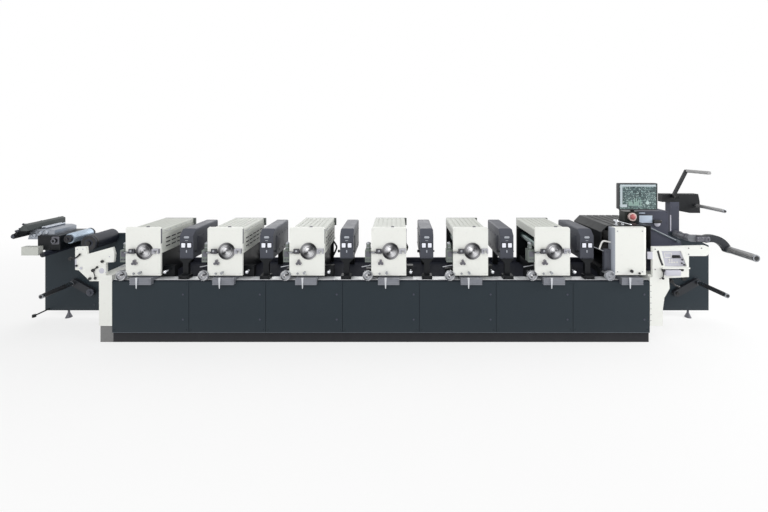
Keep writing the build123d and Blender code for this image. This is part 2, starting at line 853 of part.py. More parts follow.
def make_deck():
    y0 = front + deck_from_front
    edge = base_top + deck_edge_rise
    under = edge - deck_edge_thickness
    column_right = right + column_width
    points = [(deck_left, column_top), (column_right, column_top), (column_right, under),
              (deck_right, under), (deck_right, edge), (deck_left, die_hood_top)]
    save("outfeed_deck", plate(outline(points), y0, back_plate_y))
    x0 = right + console_left
    x1 = right + console_right
    console_y = front + console_front
    top = base_top + console_rise
    side = [(x0, deck_height(x0)), (x1, deck_height(x1)), (x1, top), (x0, top)]
    save("console", plate(outline(side), console_y, console_y + console_depth))
    box_y = front + stop_box_front
    box_left = deck_left - stop_box_width
    save("stop_box", block(box_left, deck_left, box_y, box_y + stop_box_depth, die_hood_top,
                           top))
    middle_x = box_left + stop_box_width / 2
    middle_z = (die_hood_top + top) / 2
    save("stop_button", rod(middle_x, middle_z, box_y - stop_button_depth, box_y,
                            stop_button_radius))


def make_screen():
    screen_x = deck_left - screen_inset
    face_y = front + screen_front
    back_y = face_y + screen_thickness
    stem_y = back_y + stem_from_screen
    bottom = base_top + screen_rise
    stem_top = bottom - neck_drop
    half = screen_width / 2
    save("screen_stem", post(screen_x, stem_y, base_top + console_rise, stem_top - face_gap,
                             stem_radius))
    display = block(screen_x - half, screen_x + half, face_y, back_y, bottom,
                    bottom + screen_height)
    display = fillet(display.edges().filter_by(Axis.Y), screen_edge_radius)
    neck_top = bottom + neck_height
    neck = post(screen_x, stem_y, stem_top, neck_top, stem_radius)
    neck += block(screen_x - stem_radius, screen_x + stem_radius, back_y, stem_y, bottom,
                  neck_top)
    save("screen", display + neck)


# Rewind column with its head, the waste box and mandrel and the rider arm
def make_rewind_column():
    y0 = back_plate_y
    y1 = y0 + column_depth
    x = right + column_reach
    half = column_size / 2
    top = base_top + column_top_rise
    save("rewind_column", block(x - half, x + half, y0, y1, base_top + rewind_plate_rise, top))
    head = block(x - half - head_width, x, y0, y1, top, top + head_height)
    bar = block(x, x + half, y0, y1, top, top + head_bar_height)
    box = plate(outline(moved(waste_box_outline, x + half, base_top)), y0, y1)
    waste_x = x + half + waste_reach
    waste_z = base_top + waste_rise
    whole = head + bar + box
    whole -= rod(waste_x, waste_z, y0, y1, waste_journal_radius + shaft_clearance)
    save("rewind_head", whole)
    save("waste_mandrel", mandrel(waste_x, waste_z, y0, y0 + column_depth / 2, waste_length,
                                  waste_radius, waste_journal_radius))
    arm_front = y0 - rider_thickness
    pivot_x = right + rider_pivot[0]
    pivot_z = base_top + rider_pivot[1]
    tip_x = right + rider_tip[0]
    tip_z = base_top + rider_tip[1]
    arm = link(pivot_x, pivot_z, tip_x, tip_z, rider_width, arm_front, y0 - face_gap)
    save("rider_arm", arm + rod(tip_x, tip_z, arm_front - rider_rod_length, arm_front,
                                rider_rod_radius))


# Main rewind: a tube from the back plate, a clamp, a cranked arm and the thick mandrel
def make_rewind_arm():
    y0 = back_plate_y
    arm_back = y0 - crank_from_plate
    arm_front = arm_back - crank_thickness
    tube_x = right + tube_reach
    tube_z = base_top + tube_rise
    clamp_x = right + clamp_reach
    clamp_z = base_top + clamp_rise
    x = right + rewind_reach
    z = base_top + rewind_rise
    arm = rod(tube_x, tube_z, arm_front, y0, tube_radius)
    arm += link(tube_x, tube_z, clamp_x, clamp_z, clamp_thickness, arm_front, arm_back)
    bend = (right + crank_bend[0], base_top + crank_bend[1])
    curve = ThreePointArc((clamp_x, clamp_z), bend, (x, z))
    arm += plate(SlotArc(curve, crank_width), arm_front, arm_back)
    arm -= rod(x, z, arm_front, arm_back, rewind_journal_radius + shaft_clearance)
    save("rewind_arm", arm)
    save("rewind_mandrel", mandrel(x, z, arm_front, arm_back - journal_end_gap,
                                   rewind_mandrel_length, rewind_mandrel_radius,
                                   rewind_journal_radius))


def make_feet():
    y = back_plate_y + back_plate_thickness / 2
    wide, narrow, height = foot_cone
    feet = []
    for x in (left - foot_reach_left, right + foot_reach_right):
        foot = Pos(x, y, height / 2) * Cone(wide, narrow, height)
        feet.append(foot + post(x, y, height, back_plate_foot, narrow))
    save("levelling_feet", *feet)


os.makedirs("parts", exist_ok=True)
make_base()
make_units()
make_fittings()
make_dryers()
make_die_station()
make_unwind()
make_small_mandrels()
make_outfeed()
make_deck()
make_screen()
make_rewind_column()
make_rewind_arm()
make_feet()
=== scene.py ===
import math

import bpy
import numpy as np
from bpy.props import FloatProperty, FloatVectorProperty, PointerProperty
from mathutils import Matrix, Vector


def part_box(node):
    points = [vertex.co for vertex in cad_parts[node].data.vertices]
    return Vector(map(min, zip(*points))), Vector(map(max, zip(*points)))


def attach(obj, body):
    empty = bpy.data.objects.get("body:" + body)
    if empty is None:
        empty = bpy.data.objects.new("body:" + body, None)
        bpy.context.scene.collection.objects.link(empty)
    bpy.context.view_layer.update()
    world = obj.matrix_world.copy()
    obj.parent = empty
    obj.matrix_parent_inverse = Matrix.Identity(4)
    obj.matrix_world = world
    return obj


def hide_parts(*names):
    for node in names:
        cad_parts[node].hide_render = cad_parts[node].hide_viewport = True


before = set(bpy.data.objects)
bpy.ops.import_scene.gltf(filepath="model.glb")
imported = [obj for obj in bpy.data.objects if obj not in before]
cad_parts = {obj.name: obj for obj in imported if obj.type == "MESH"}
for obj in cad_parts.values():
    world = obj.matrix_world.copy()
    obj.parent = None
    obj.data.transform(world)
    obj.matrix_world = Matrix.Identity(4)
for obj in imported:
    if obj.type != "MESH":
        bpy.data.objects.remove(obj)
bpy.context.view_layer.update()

bl_info = {
    "name": "Label press finish",
    "version": (1, 0, 0),
    "blender": (4, 5, 0),
    "location": "3D view > Sidebar > Label press",
    "description": "Finishes and fittings of a narrow-web label press around its solid model",
    "category": "Object",
}

BODY = "press"
ORIGIN = ((0.0, 0.0, 0.0),)
CREASE = math.radians(38.0)
FINISHES = {}


# Numbers on shader sockets, written as Python arithmetic
def math_node(operation, reflected=False):
    """A method that adds one Math node. A reflected one takes the socket as second term."""
    def method(self, *terms):
        return self.math(operation, *((*terms, self) if reflected else (self, *terms)))
    return method


class Value:
    """A socket of a shader tree. Arithmetic on it adds Math nodes."""

    def __init__(self, tree, socket):
        self.tree = tree
        self.socket = socket

    def math(self, operation, *terms):
        node = self.tree.nodes.new("ShaderNodeMath")
        node.operation = operation
        for slot, term in zip(node.inputs, terms):
            connect(self.tree, slot, term)
        return Value(self.tree, node.outputs[0])

    __add__ = __radd__ = math_node("ADD")
    __mul__ = __rmul__ = math_node("MULTIPLY")
    __sub__ = math_node("SUBTRACT")
    __rsub__ = math_node("SUBTRACT", reflected=True)
    __truediv__ = math_node("DIVIDE")
    __gt__ = math_node("GREATER_THAN")
    __lt__ = math_node("LESS_THAN")
    fraction = math_node("FRACT")
    whole = math_node("FLOOR")
    sine = math_node("SINE")
    power = math_node("POWER")
    least = math_node("MINIMUM")
    most = math_node("MAXIMUM")


def connect(tree, slot, term):
    """Links a value into a socket, or writes a constant on it."""
    if isinstance(term, Value):
        tree.links.new(term.socket, slot)
    else:
        slot.default_value = term


class Finish:
    """One material: its node tree, its object coordinates and its main shader."""

    def __init__(self, name):
        self.material = bpy.data.materials.new(name)
        self.material.use_nodes = True
        self.tree = self.material.node_tree
        self.tree.nodes.clear()
        self.place = self.node("ShaderNodeTexCoord", output="Object")
        apart = self.tree.nodes.new("ShaderNodeSeparateXYZ")
        connect(self.tree, apart.inputs[0], self.place)
        self.x, self.y, self.z = (Value(self.tree, socket) for socket in apart.outputs)

    def node(self, kind, settings=None, inputs=None, output=0):
        """Adds one node. Settings come first, then the values or links of its sockets."""
        node = self.tree.nodes.new(kind)
        for name, value in (settings or {}).items():
            if name == "stops":
                ramp = node.color_ramp
                while len(ramp.elements) < len(value):
                    ramp.elements.new(1.0)
                for element, (position, colour) in zip(ramp.elements, value):
                    element.position = position
                    element.color = (*colour, 1.0)
            else:
                setattr(node, name, value)
        for name, value in (inputs or {}).items():
            connect(self.tree, node.inputs[name], value)
        return Value(self.tree, node.outputs[output]) if len(node.outputs) else None

    def stretched(self, scale):
        """Object coordinates, scaled by a factor for each axis."""
        return self.node("ShaderNodeVectorMath", {"operation": "MULTIPLY"},
                         {0: self.place, 1: scale})

    def noise(self, scale, detail=3.0, stretch=None):
        """Soft noise between 0 and 1, on object coordinates."""
        place = self.stretched(stretch) if stretch else self.place
        return self.node("ShaderNodeTexNoise", None,
                         {"Vector": place, "Scale": scale, "Detail": detail})

    def blend(self, factor, first, second):
        """Mixes two colours, each a link or a plain colour."""
        ends = [c if isinstance(c, Value) else (*c, 1.0) for c in (first, second)]
        return self.node("ShaderNodeMix", {"data_type": "RGBA"},
                         {0: factor, 6: ends[0], 7: ends[1]}, output=2)

    def bump(self, height, distance, strength=1.0):
        return self.node("ShaderNodeBump", None, {"Height": height, "Distance": distance,
                                                  "Strength": strength})

    def surface(self, inputs):
        """Adds the main shader and the output, and returns the finished material."""
        shader = self.node("ShaderNodeBsdfPrincipled", None, inputs)
        self.node("ShaderNodeOutputMaterial", None, {"Surface": shader})
        return self.material


def linear(colour):
    """A colour written as it looks, turned into light for a shader."""
    return tuple(c / 12.92 if c <= 0.04045 else ((c + 0.055) / 1.055) ** 2.4 for c in colour)


def shade(colour, factor):
    return tuple(c * factor for c in colour)


def powder_coat(name, colour, roughness=0.45, mottle=0.05, low_darkening=0.0, second=None,
                where=None, gloss=0.35):
    """Paint: a fine orange-peel skin, a drift of tone, faint vertical wipe marks, and a darkening
    towards the bottom that fades out 0.25 m above the floor.
    Where the test holds, a second colour is painted."""
    finish = Finish(name)
    base = linear(colour)
    drift = finish.noise(1.7, 4.0)
    specks = finish.noise(38.0, 5.0)
    wipes = finish.noise(3.0, 5.0, (3.0, 3.0, 0.7))
    tone = finish.blend(drift, shade(base, 1.0 - mottle), shade(base, 1.0 + mottle))
    if second is not None:
        other = linear(second)
        tone = finish.blend(where(finish), tone, finish.blend(drift, shade(other, 0.96),
                                                              shade(other, 1.04)))
    tone = finish.blend((specks - 0.60).most(0.0) * 1.2, tone, shade(base, 0.72))
    # Darker towards the bottom: a dark grey laid over the lowest 0.25 m, in streaks that follow
    # the wipe marks.
    if low_darkening:
        low_darkening_mask = (1.0 - finish.z / 0.25).most(0.0) * (0.4 + wipes) * low_darkening
        tone = finish.blend(low_darkening_mask.least(1.0), tone, (0.12, 0.12, 0.12))
    skin = finish.noise(420.0, 2.0)
    return finish.surface({
        "Base Color": tone,
        "Roughness": roughness + (wipes - 0.5) * 0.22 + (specks - 0.5) * 0.08,
        "Specular IOR Level": gloss,
        "Normal": finish.bump(skin, 0.0006, 0.35),
    })


def ground_steel(name, colour, roughness=0.3, along=(1.0, 60.0, 60.0), metallic=1.0,
                 second=None, where=None):
    """Metal ground in one direction: fine scratches across the two other axes, with darker
    oil films. Where the test holds, a second tone is given."""
    finish = Finish(name)
    base = linear(colour)
    scratches = finish.noise(22.0, 6.0, along)
    cloud = finish.noise(5.0, 3.0)
    film = (finish.noise(16.0, 5.0) - 0.52).most(0.0) * 1.6
    tone = finish.blend(scratches, shade(base, 0.80), shade(base, 1.08))
    if second is not None:
        tone = finish.blend(where(finish), tone, linear(second))
    tone = finish.blend(film, tone, shade(base, 0.45))
    return finish.surface({
        "Base Color": tone,
        "Metallic": metallic,
        "Roughness": roughness + (scratches - 0.5) * 0.25 + (cloud - 0.5) * 0.1,
        "Normal": finish.bump(scratches, 0.0004, 0.4),
    })


def turned_rubber(name, colour, roughness=0.55, second=None, where=None):
    """Roller rubber: faint rings around the roller from grinding, and a dusty bloom."""
    finish = Finish(name)
    base = linear(colour)
    rings = finish.noise(30.0, 4.0, (0.3, 30.0, 0.3))
    bloom = finish.noise(7.0, 5.0)
    tone = finish.blend(bloom, shade(base, 0.75), shade(base, 1.5))
    metal = 0.0
    if second is not None:
        metal = where(finish)
        tone = finish.blend(metal, tone, linear(second))
    return finish.surface({
        "Base Color": tone,
        "Metallic": metal,
        "Roughness": roughness + (rings - 0.5) * 0.2 - metal * 0.25,
        "Normal": finish.bump(rings, 0.0003, 0.3),
    })


def turned_face_painted_sheen(name, dark, bright, rows, height, roughness=0.26, offset=0.018):
    """Faced metal round an axis that runs to the back: fine rings from the tool, and painted
    highlights and shade in sectors that follow the product of the two offsets over the squared
    radius, standing in for the sheen on turned metal."""
    finish = Finish(name)
    count = len(rows)
    pitch = (rows[-1][0] - rows[0][0]) / (count - 1)
    share = (finish.x - (rows[0][0] + offset)) / pitch + 0.5
    across = (share - share.whole() - 0.5) * pitch
    up = finish.z - height
    square = across * across + up * up + 0.00001
    # Painted highlight and shade: the colour turns from the dark tone to the bright one by angle
    # round the axis, standing in for the sheen on turned metal.
    sheen_sector = across * up / square
    ring = (square.power(0.5) * 900.0).sine() * 0.5 + 0.5
    light = (0.45 - sheen_sector * 0.95 + (ring - 0.5) * 0.25).least(1.0).most(0.0)
    return finish.surface({
        "Base Color": finish.blend(light, linear(dark), linear(bright)),
        "Metallic": 1.0,
        "Roughness": roughness + ring * 0.10,
        "Normal": finish.bump(ring, 0.0003, 0.5),
    })


def moulded(name, colour, roughness=0.4, grain=900.0, glow=0.0):
    """Moulded plastic with a fine even texture. Glow is light of the same colour."""
    finish = Finish(name)
    base = linear(colour)
    skin = finish.noise(grain, 1.0)
    cloud = finish.noise(9.0, 3.0)
    return finish.surface({
        "Base Color": finish.blend(cloud, shade(base, 0.9), shade(base, 1.1)),
        "Roughness": roughness + (cloud - 0.5) * 0.12,
        "Emission Color": (*base, 1.0),
        "Emission Strength": glow,
        "Normal": finish.bump(skin, 0.0003, 0.3),
    })


def two_part_metal(name, dark, bright, where):
    """Dark moulded plastic where the test holds, and bright turned metal elsewhere."""
    finish = Finish(name)
    mask = where(finish)
    scratches = finish.noise(30.0, 5.0, (20.0, 1.0, 20.0))
    tone = finish.blend(scratches, shade(linear(bright), 0.8), linear(bright))
    return finish.surface({
        "Base Color": finish.blend(mask, tone, linear(dark)),
        "Metallic": 1.0 - mask,
        "Roughness": 0.22 + mask * 0.22 + (scratches - 0.5) * 0.1,
        "Normal": finish.bump(scratches, 0.0003, 0.3),
    })


def panel_mask(x, z, left, right, low, high):
    """1 inside a rectangle of the display, where x and z run from 0 to 1."""
    return (x > left) * (x < right) * (z > low) * (z < high)


def display_glass(name, centre, size):
    """A lit operating screen: a pale bar along the top and the left, rows of plain blocks,
    a plot of uneven height, and a round gauge."""
    finish = Finish(name)
    x = (finish.x - centre[0]) / size[0] + 0.5
    z = (finish.z - centre[1]) / size[1] + 0.5
    cell = finish.node("ShaderNodeCombineXYZ", None,
                       {0: (x * 14.0).whole(), 1: (z * 11.0).whole(), 2: 0.0})
    chance = finish.node("ShaderNodeTexWhiteNoise", None, {"Vector": cell})
    gap = ((x * 14.0).fraction() > 0.16) * ((z * 11.0).fraction() > 0.28)
    tone = finish.blend(chance, linear((0.10, 0.17, 0.20)), linear((0.56, 0.66, 0.66)))
    tone = finish.blend(gap, linear((0.22, 0.30, 0.31)), tone)
    field = finish.blend(z, linear((0.42, 0.53, 0.50)), linear((0.24, 0.32, 0.35)))
    fine = finish.node("ShaderNodeTexWhiteNoise", None, {"Vector": finish.node(
        "ShaderNodeCombineXYZ", None, {0: (x * 46.0).whole(), 1: (z * 30.0).whole(), 2: 1.0})})
    tone = finish.blend(0.30, tone, field)
    tone = finish.blend((fine > 0.86) * 0.65, tone, linear((0.72, 0.80, 0.79)))
    tone = finish.blend((fine < 0.24) * 0.55, tone, linear((0.08, 0.12, 0.14)))
    column = finish.node("ShaderNodeTexWhiteNoise", {"noise_dimensions": "1D"},
                         {"W": (x * 34.0).whole()})
    plot = panel_mask(x, z, 0.24, 0.62, 0.10, 0.46) * (z < 0.12 + column * 0.30)
    tone = finish.blend(plot * 0.8, tone, linear((0.60, 0.72, 0.68)))
    away = ((x - 0.76) * (x - 0.76) * 2.3 + (z - 0.22) * (z - 0.22)).power(0.5)
    tone = finish.blend(away < 0.075, tone, linear((0.74, 0.82, 0.81)))
    bars = panel_mask(x, z, 0.02, 0.98, 0.905, 0.985).most(
        panel_mask(x, z, 0.015, 0.075, 0.04, 0.985)).most(
        panel_mask(x, z, 0.075, 0.20, 0.04, 0.155))
    tone = finish.blend(bars, tone, linear((0.78, 0.83, 0.85)))
    return finish.surface({
        "Base Color": finish.blend(0.6, tone, (0.0, 0.0, 0.0)),
        "Roughness": 0.16 + chance * 0.02,
        "Emission Color": tone,
        "Emission Strength": 0.50,
    })


# Shapes. Each one is three whole arrays: points, four-cornered faces and triangles
FRONTWARD = (0.0, -1.0, 0.0)
REARWARD = (0.0, 1.0, 0.0)
UPWARD = (0.0, 0.0, 1.0)
LEFTWARD = (-1.0, 0.0, 0.0)
RIGHTWARD = (1.0, 0.0, 0.0)
SMALLEST_CORNER = 0.0002


def outward(points, quads, triangles):
    """Turns all faces over where the skin's volume, summed over its faces, is negative."""
    corners = np.vstack([quads[:, :3], quads[:, [0, 2, 3]], triangles])
    a, b, c = points[corners].transpose(1, 0, 2)
    if np.einsum("ij,ij->", a - points[0], np.cross(b - points[0], c - points[0])) < 0.0:
        return points, quads[:, ::-1], triangles[:, ::-1]
    return points, quads, triangles


def skin(rings, ends=None):
    """Joins rings of points by quads. Two end points close it with fans; without them the
    last ring joins the first, as round a tyre."""
    rings = np.asarray(rings, dtype=float)
    count, around = rings.shape[:2]
    points = rings.reshape(-1, 3)
    here = np.arange(around)
    beside = (here + 1) % around
    rows = np.arange(count if ends is None else count - 1)[:, None]
    low = rows * around
    high = (rows + 1) % count * around
    quads = np.stack([low + here, low + beside, high + beside, high + here], -1)
    triangles = np.zeros((0, 3), dtype=int)
    if ends is not None:
        points = np.vstack([points, ends])
        first = np.stack([np.full(around, len(points) - 2), beside, here], -1)
        last = (count - 1) * around
        second = np.stack([np.full(around, len(points) - 1), last + here, last + beside], -1)
        triangles = np.vstack([first, second])
    return outward(points, quads.reshape(-1, 4), triangles)


def directions(facing):
    """Three unit vectors square to each other: sideways, upwards and the way it faces."""
    facing = np.asarray(facing, dtype=float)
    facing = facing / np.linalg.norm(facing)
    hint = np.array((0.0, 1.0, 0.0) if abs(facing[2]) > 0.9 else (0.0, 0.0, 1.0))
    side = np.cross(hint, facing)
    side = side / np.linalg.norm(side)
    return side, np.cross(facing, side), facing


def spokes(facing, steps):
    """The way an axis faces, the angles once round it, and a unit vector at each angle."""
    side, up, ahead = directions(facing)
    angle = np.linspace(0.0, 2.0 * math.pi, steps, endpoint=False)
    return ahead, angle, np.cos(angle)[:, None] * side + np.sin(angle)[:, None] * up


def turned(profile, centre, facing=FRONTWARD, steps=24, flutes=0, depth=0.0):
    """A lathe form: each profile pair (reach, radius) is carried round the axis, where the
    radius swings by the depth as a cosine of the flute count times the angle."""
    ahead, angle, spoke = spokes(facing, steps)
    profile = np.asarray(profile, dtype=float)
    swing = 1.0 + depth * np.cos(flutes * angle)
    rings = (centre + profile[1:-1, 0, None, None] * ahead
             + (profile[1:-1, 1, None] * swing)[:, :, None] * spoke)
    ends = np.asarray(centre) + profile[[0, -1], 0, None] * ahead
    return skin(rings, ends)


def turned_ring(section, centre, facing=FRONTWARD, steps=32):
    """A closed section of (reach, radius) pairs carried round the axis, as a washer is."""
    ahead, _, spoke = spokes(facing, steps)
    section = np.asarray(section, dtype=float)
    return skin(centre + section[:, 0, None, None] * ahead + section[:, 1, None, None] * spoke)


def rounded_outline(width, height, corner, steps=5):
    """A rectangle whose corners are quarter circles: corner centre plus corner radius times
    the cosine and sine of an angle that runs once round."""
    angle = np.linspace(0.0, math.pi / 2.0, steps)
    turn = (angle[None] + np.arange(4)[:, None] * math.pi / 2.0).ravel()
    sign_x = np.repeat([1.0, -1.0, -1.0, 1.0], steps)
    sign_y = np.repeat([1.0, 1.0, -1.0, -1.0], steps)
    return np.stack([sign_x * (width / 2.0 - corner) + corner * np.cos(turn),
                     sign_y * (height / 2.0 - corner) + corner * np.sin(turn)], -1)


def level(centre, width, height, corner, facing, reach):
    """A rounded outline in space, at a reach in front of its centre."""
    side, up, ahead = directions(facing)
    flat = rounded_outline(width, height, corner)
    return centre + flat[:, :1] * side + flat[:, 1:] * up + reach * ahead


def pad(centre, width, height, depth, corner, facing=FRONTWARD, ease=0.002):
    """A block with round corners whose front edge is eased by a quarter circle: outlines
    that shrink by 1 minus the cosine while they rise by the sine."""
    ahead = directions(facing)[2]
    angle = np.linspace(0.0, math.pi / 2.0, 4)
    shrink = np.concatenate([[0.0], ease * (1.0 - np.cos(angle))])
    rise = np.concatenate([[0.0], depth - ease + ease * np.sin(angle)])
    rings = [level(centre, width - 2 * inward, height - 2 * inward,
                   max(corner - inward, SMALLEST_CORNER), facing, reach)
             for inward, reach in zip(shrink, rise)]
    ends = [np.asarray(centre), centre + depth * ahead]
    return skin(rings, ends)


def rim(centre, width, height, corner, section, facing=FRONTWARD):
    """A frame: a closed section of (outward, reach) pairs carried round a rounded outline."""
    return skin([level(centre, width + 2 * grow, height + 2 * grow, corner + grow, facing,
                       reach) for grow, reach in section])


def swept(path, width, height=None, normal=(0.0, 1.0, 0.0), square=2.0, steps=12):
    """A bar along a path: at each point a superellipse, cosine and sine each to the power
    2 over the squareness, stands square to the path. Both ends are domed."""
    path = np.asarray(path, dtype=float)
    height = width if height is None else height
    along = np.gradient(path, axis=0)
    along = along / np.linalg.norm(along, axis=1)[:, None]
    up = np.broadcast_to(np.asarray(normal, dtype=float), path.shape)
    side = np.cross(along, up)
    side = side / np.linalg.norm(side, axis=1)[:, None]
    up = np.cross(side, along)
    dome = np.array([0.25, 0.65, 0.9])
    reach = width * 0.5 * (1.0 - np.sqrt(1.0 - (1.0 - dome) ** 2))[::-1]
    head = path[0] - along[0] * (width * 0.25 - reach[::-1, None] * 0.5)
    tail = path[-1] + along[-1] * (width * 0.25 - reach[:, None] * 0.5)
    centres = np.vstack([head, path, tail])
    sides = np.vstack([np.repeat(side[:1], 3, 0), side, np.repeat(side[-1:], 3, 0)])
    ups = np.vstack([np.repeat(up[:1], 3, 0), up, np.repeat(up[-1:], 3, 0)])
    scale = np.concatenate([dome, np.ones(len(path)), dome[::-1]])
    angle = np.linspace(0.0, 2.0 * math.pi, steps, endpoint=False)
    power = 2.0 / square
    across = np.sign(np.cos(angle)) * np.abs(np.cos(angle)) ** power * width / 2.0
    over = np.sign(np.sin(angle)) * np.abs(np.sin(angle)) ** power * height / 2.0
    rings = (centres[:, None] + scale[:, None, None]
             * (across[None, :, None] * sides[:, None] + over[None, :, None] * ups[:, None]))
    ends = [path[0] - along[0] * width * 0.27, path[-1] + along[-1] * width * 0.27]
    return skin(rings, ends)


def smooth_path(points, steps=8):
    """A smooth line through points: on each stretch the Catmull-Rom cubic, a sum of the four
    points around it times polynomials of the share travelled."""
    points = np.asarray(points, dtype=float)
    padded = np.vstack([2 * points[0] - points[1], points, 2 * points[-1] - points[-2]])
    share = np.linspace(0.0, 1.0, steps, endpoint=False)[None, :, None]
    a, b, c, d = (padded[i:len(padded) - 3 + i, None] for i in range(4))
    line = 0.5 * (2 * b + (c - a) * share + (2 * a - 5 * b + 4 * c - d) * share ** 2
                  + (3 * b - a - 3 * c + d) * share ** 3)
    return np.vstack([line.reshape(-1, 3), points[-1:]])


def copies(shape, places):
    """One shape set down at several places: its points plus each place in turn."""
    points, quads, triangles = shape
    places = np.asarray(places, dtype=float).reshape(-1, 1, 3)
    shift = (np.arange(len(places)) * len(points))[:, None, None]
    return ((points[None] + places).reshape(-1, 3), (quads[None] + shift).reshape(-1, 4),
            (triangles[None] + shift).reshape(-1, 3))


def joined(shapes):
    """Several shapes as one, with each one's faces counted on from the points before it."""
    counts = np.cumsum([0] + [len(shape[0]) for shape in shapes])
    return (np.vstack([shape[0] for shape in shapes]),
            np.vstack([shape[1] + n for shape, n in zip(shapes, counts)]),
            np.vstack([shape[2] + n for shape, n in zip(shapes, counts)]))


def screw(centre, radius, facing=FRONTWARD, steps=12):
    """A cap screw: a turned head with an eased rim and a round socket."""
    r = radius
    profile = [(-0.1 * r, 0.0), (-0.1 * r, r), (0.5 * r, r), (0.7 * r, 0.85 * r),
               (0.7 * r, 0.5 * r), (0.3 * r, 0.45 * r), (0.3 * r, 0.0)]
    return turned(profile, centre, facing, steps)


def screws_at(xs, y, zs, radius, facing=FRONTWARD, steps=12):
    """Screws at every crossing of some columns and rows on a face."""
    return [screw((x, y, z), radius, facing, steps) for x in xs for z in zs]


def circle_places(centre, radius, count, start):
    """Places spaced evenly round a circle that faces the front, from a start in degrees."""
    return [(centre[0] + radius * math.cos(a), centre[1], centre[2] + radius * math.sin(a))
            for a in np.radians(start + np.arange(count) * 360.0 / count)]


def knobs_at(y, rows):
    """Knobs on one face. Each row gives x, z, radius, length and, where it has them, flutes."""
    return [knob((x, y, z), radius, length, FRONTWARD, *flutes)
            for x, z, radius, length, *flutes in rows]


def knob(centre, radius, length, facing=FRONTWARD, flutes=0, steps=20):
    """A turned knob: narrow neck, full body, domed and slightly hollow face."""
    r = radius
    profile = [(0.0, 0.0), (0.0, 0.55 * r), (0.3 * length, 0.5 * r), (0.38 * length, 0.95 * r),
               (0.5 * length, r), (0.86 * length, r), (length, 0.86 * r),
               (length, 0.4 * r), (0.94 * length, 0.34 * r), (0.94 * length, 0.0)]
    return turned(profile, centre, facing, steps, flutes, 0.06 if flutes else 0.0)


def ball(centre, radius, steps=24):
    """A sphere: reach minus cosine and radius sine of an angle that runs from pole to pole."""
    angle = np.linspace(0.0, math.pi, steps // 2 + 1)
    return turned(np.stack([-radius * np.cos(angle), radius * np.sin(angle)], -1), centre,
                  FRONTWARD, steps)


def rod(start, end, radius, steps=16):
    """A round bar between two points, with its end edges eased."""
    start = np.asarray(start, dtype=float)
    length = np.linalg.norm(np.asarray(end) - start)
    ease = min(radius * 0.3, length * 0.2)
    profile = [(0.0, 0.0), (0.0, radius - ease), (ease, radius), (length - ease, radius),
               (length, radius - ease), (length, 0.0)]
    return turned(profile, start, np.asarray(end) - start, steps)


def add_piece(name, shapes, finish, rows=ORIGIN, body=BODY):
    """Joins shapes, sets them down at every row and makes them one mesh, which gets its
    finish and rides on a body."""
    points, quads, triangles = copies(joined(shapes), rows)
    mesh = bpy.data.meshes.new(name)
    mesh.vertices.add(len(points))
    mesh.vertices.foreach_set("co", points.ravel())
    mesh.loops.add(quads.size + triangles.size)
    mesh.loops.foreach_set("vertex_index", np.concatenate([quads.ravel(), triangles.ravel()]))
    sizes = np.concatenate([np.full(len(quads), 4), np.full(len(triangles), 3)])
    mesh.polygons.add(len(sizes))
    mesh.polygons.foreach_set("loop_start", np.concatenate([[0], np.cumsum(sizes)[:-1]]))
    mesh.update(calc_edges=True)
    mesh.polygons.foreach_set("use_smooth", np.ones(len(sizes), dtype=bool))
    mesh.set_sharp_from_angle(angle=CREASE)
    mesh.materials.append(FINISHES[finish])
    piece = bpy.data.objects.new(name, mesh)
    bpy.context.scene.collection.objects.link(piece)
    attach(piece, body)
    return piece


# Places that the fittings are measured from
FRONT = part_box("front_panels")[0].y
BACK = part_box("rear_panels")[1].y
BASE_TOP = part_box("base_cabinet")[1].z
BASE_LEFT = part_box("base_cabinet")[0].x
BASE_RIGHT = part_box("base_cabinet")[1].x
UNIT_COUNT = 6
CYLINDER_OFFSET = 0.018
WHEEL_OFFSET = -0.228
DRYER_WIDTH = 0.148
REAR_FACE = BACK - 0.0045
SHEET_BACK = BACK - 0.010
END_BOLT_ROWS = (0.14, 0.55, 0.95)
LOUVRE_ROWS = np.arange(-1, 2) * 0.044
LOUVRE_COLUMNS = np.arange(-2, 3) * 0.104
MANDREL_LENGTHS = {"unwind_mandrel": 0.410, "lower_mandrel": 0.410, "rewind_mandrel": 0.340,
                   "waste_mandrel": 0.410}


def middle(node):
    low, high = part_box(node)
    return np.array([(low.x + high.x) / 2, (low.y + high.y) / 2, (low.z + high.z) / 2])


def unit_rows():
    """One offset along the press for each print unit."""
    centres = [middle(f"print_cylinder_{i + 1}")[0] - CYLINDER_OFFSET
               for i in range(UNIT_COUNT)]
    return np.array([(x, 0.0, 0.0) for x in centres])


def dryer_rows():
    """One offset along the press for each dryer head."""
    low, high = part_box("dryer_heads")
    places = np.linspace(low.x + DRYER_WIDTH / 2, high.x - DRYER_WIDTH / 2, UNIT_COUNT)
    return np.array([(x, 0.0, 0.0) for x in places])


# Sizes and colours that a user would change
def colour_property(name, description, default):
    return FloatVectorProperty(name=name, description=description, default=default, size=3,
                               min=0.0, max=1.0, subtype="COLOR")


def length_property(name, description, default):
    return FloatProperty(name=name, description=description, default=default,
                         unit="LENGTH", subtype="DISTANCE")


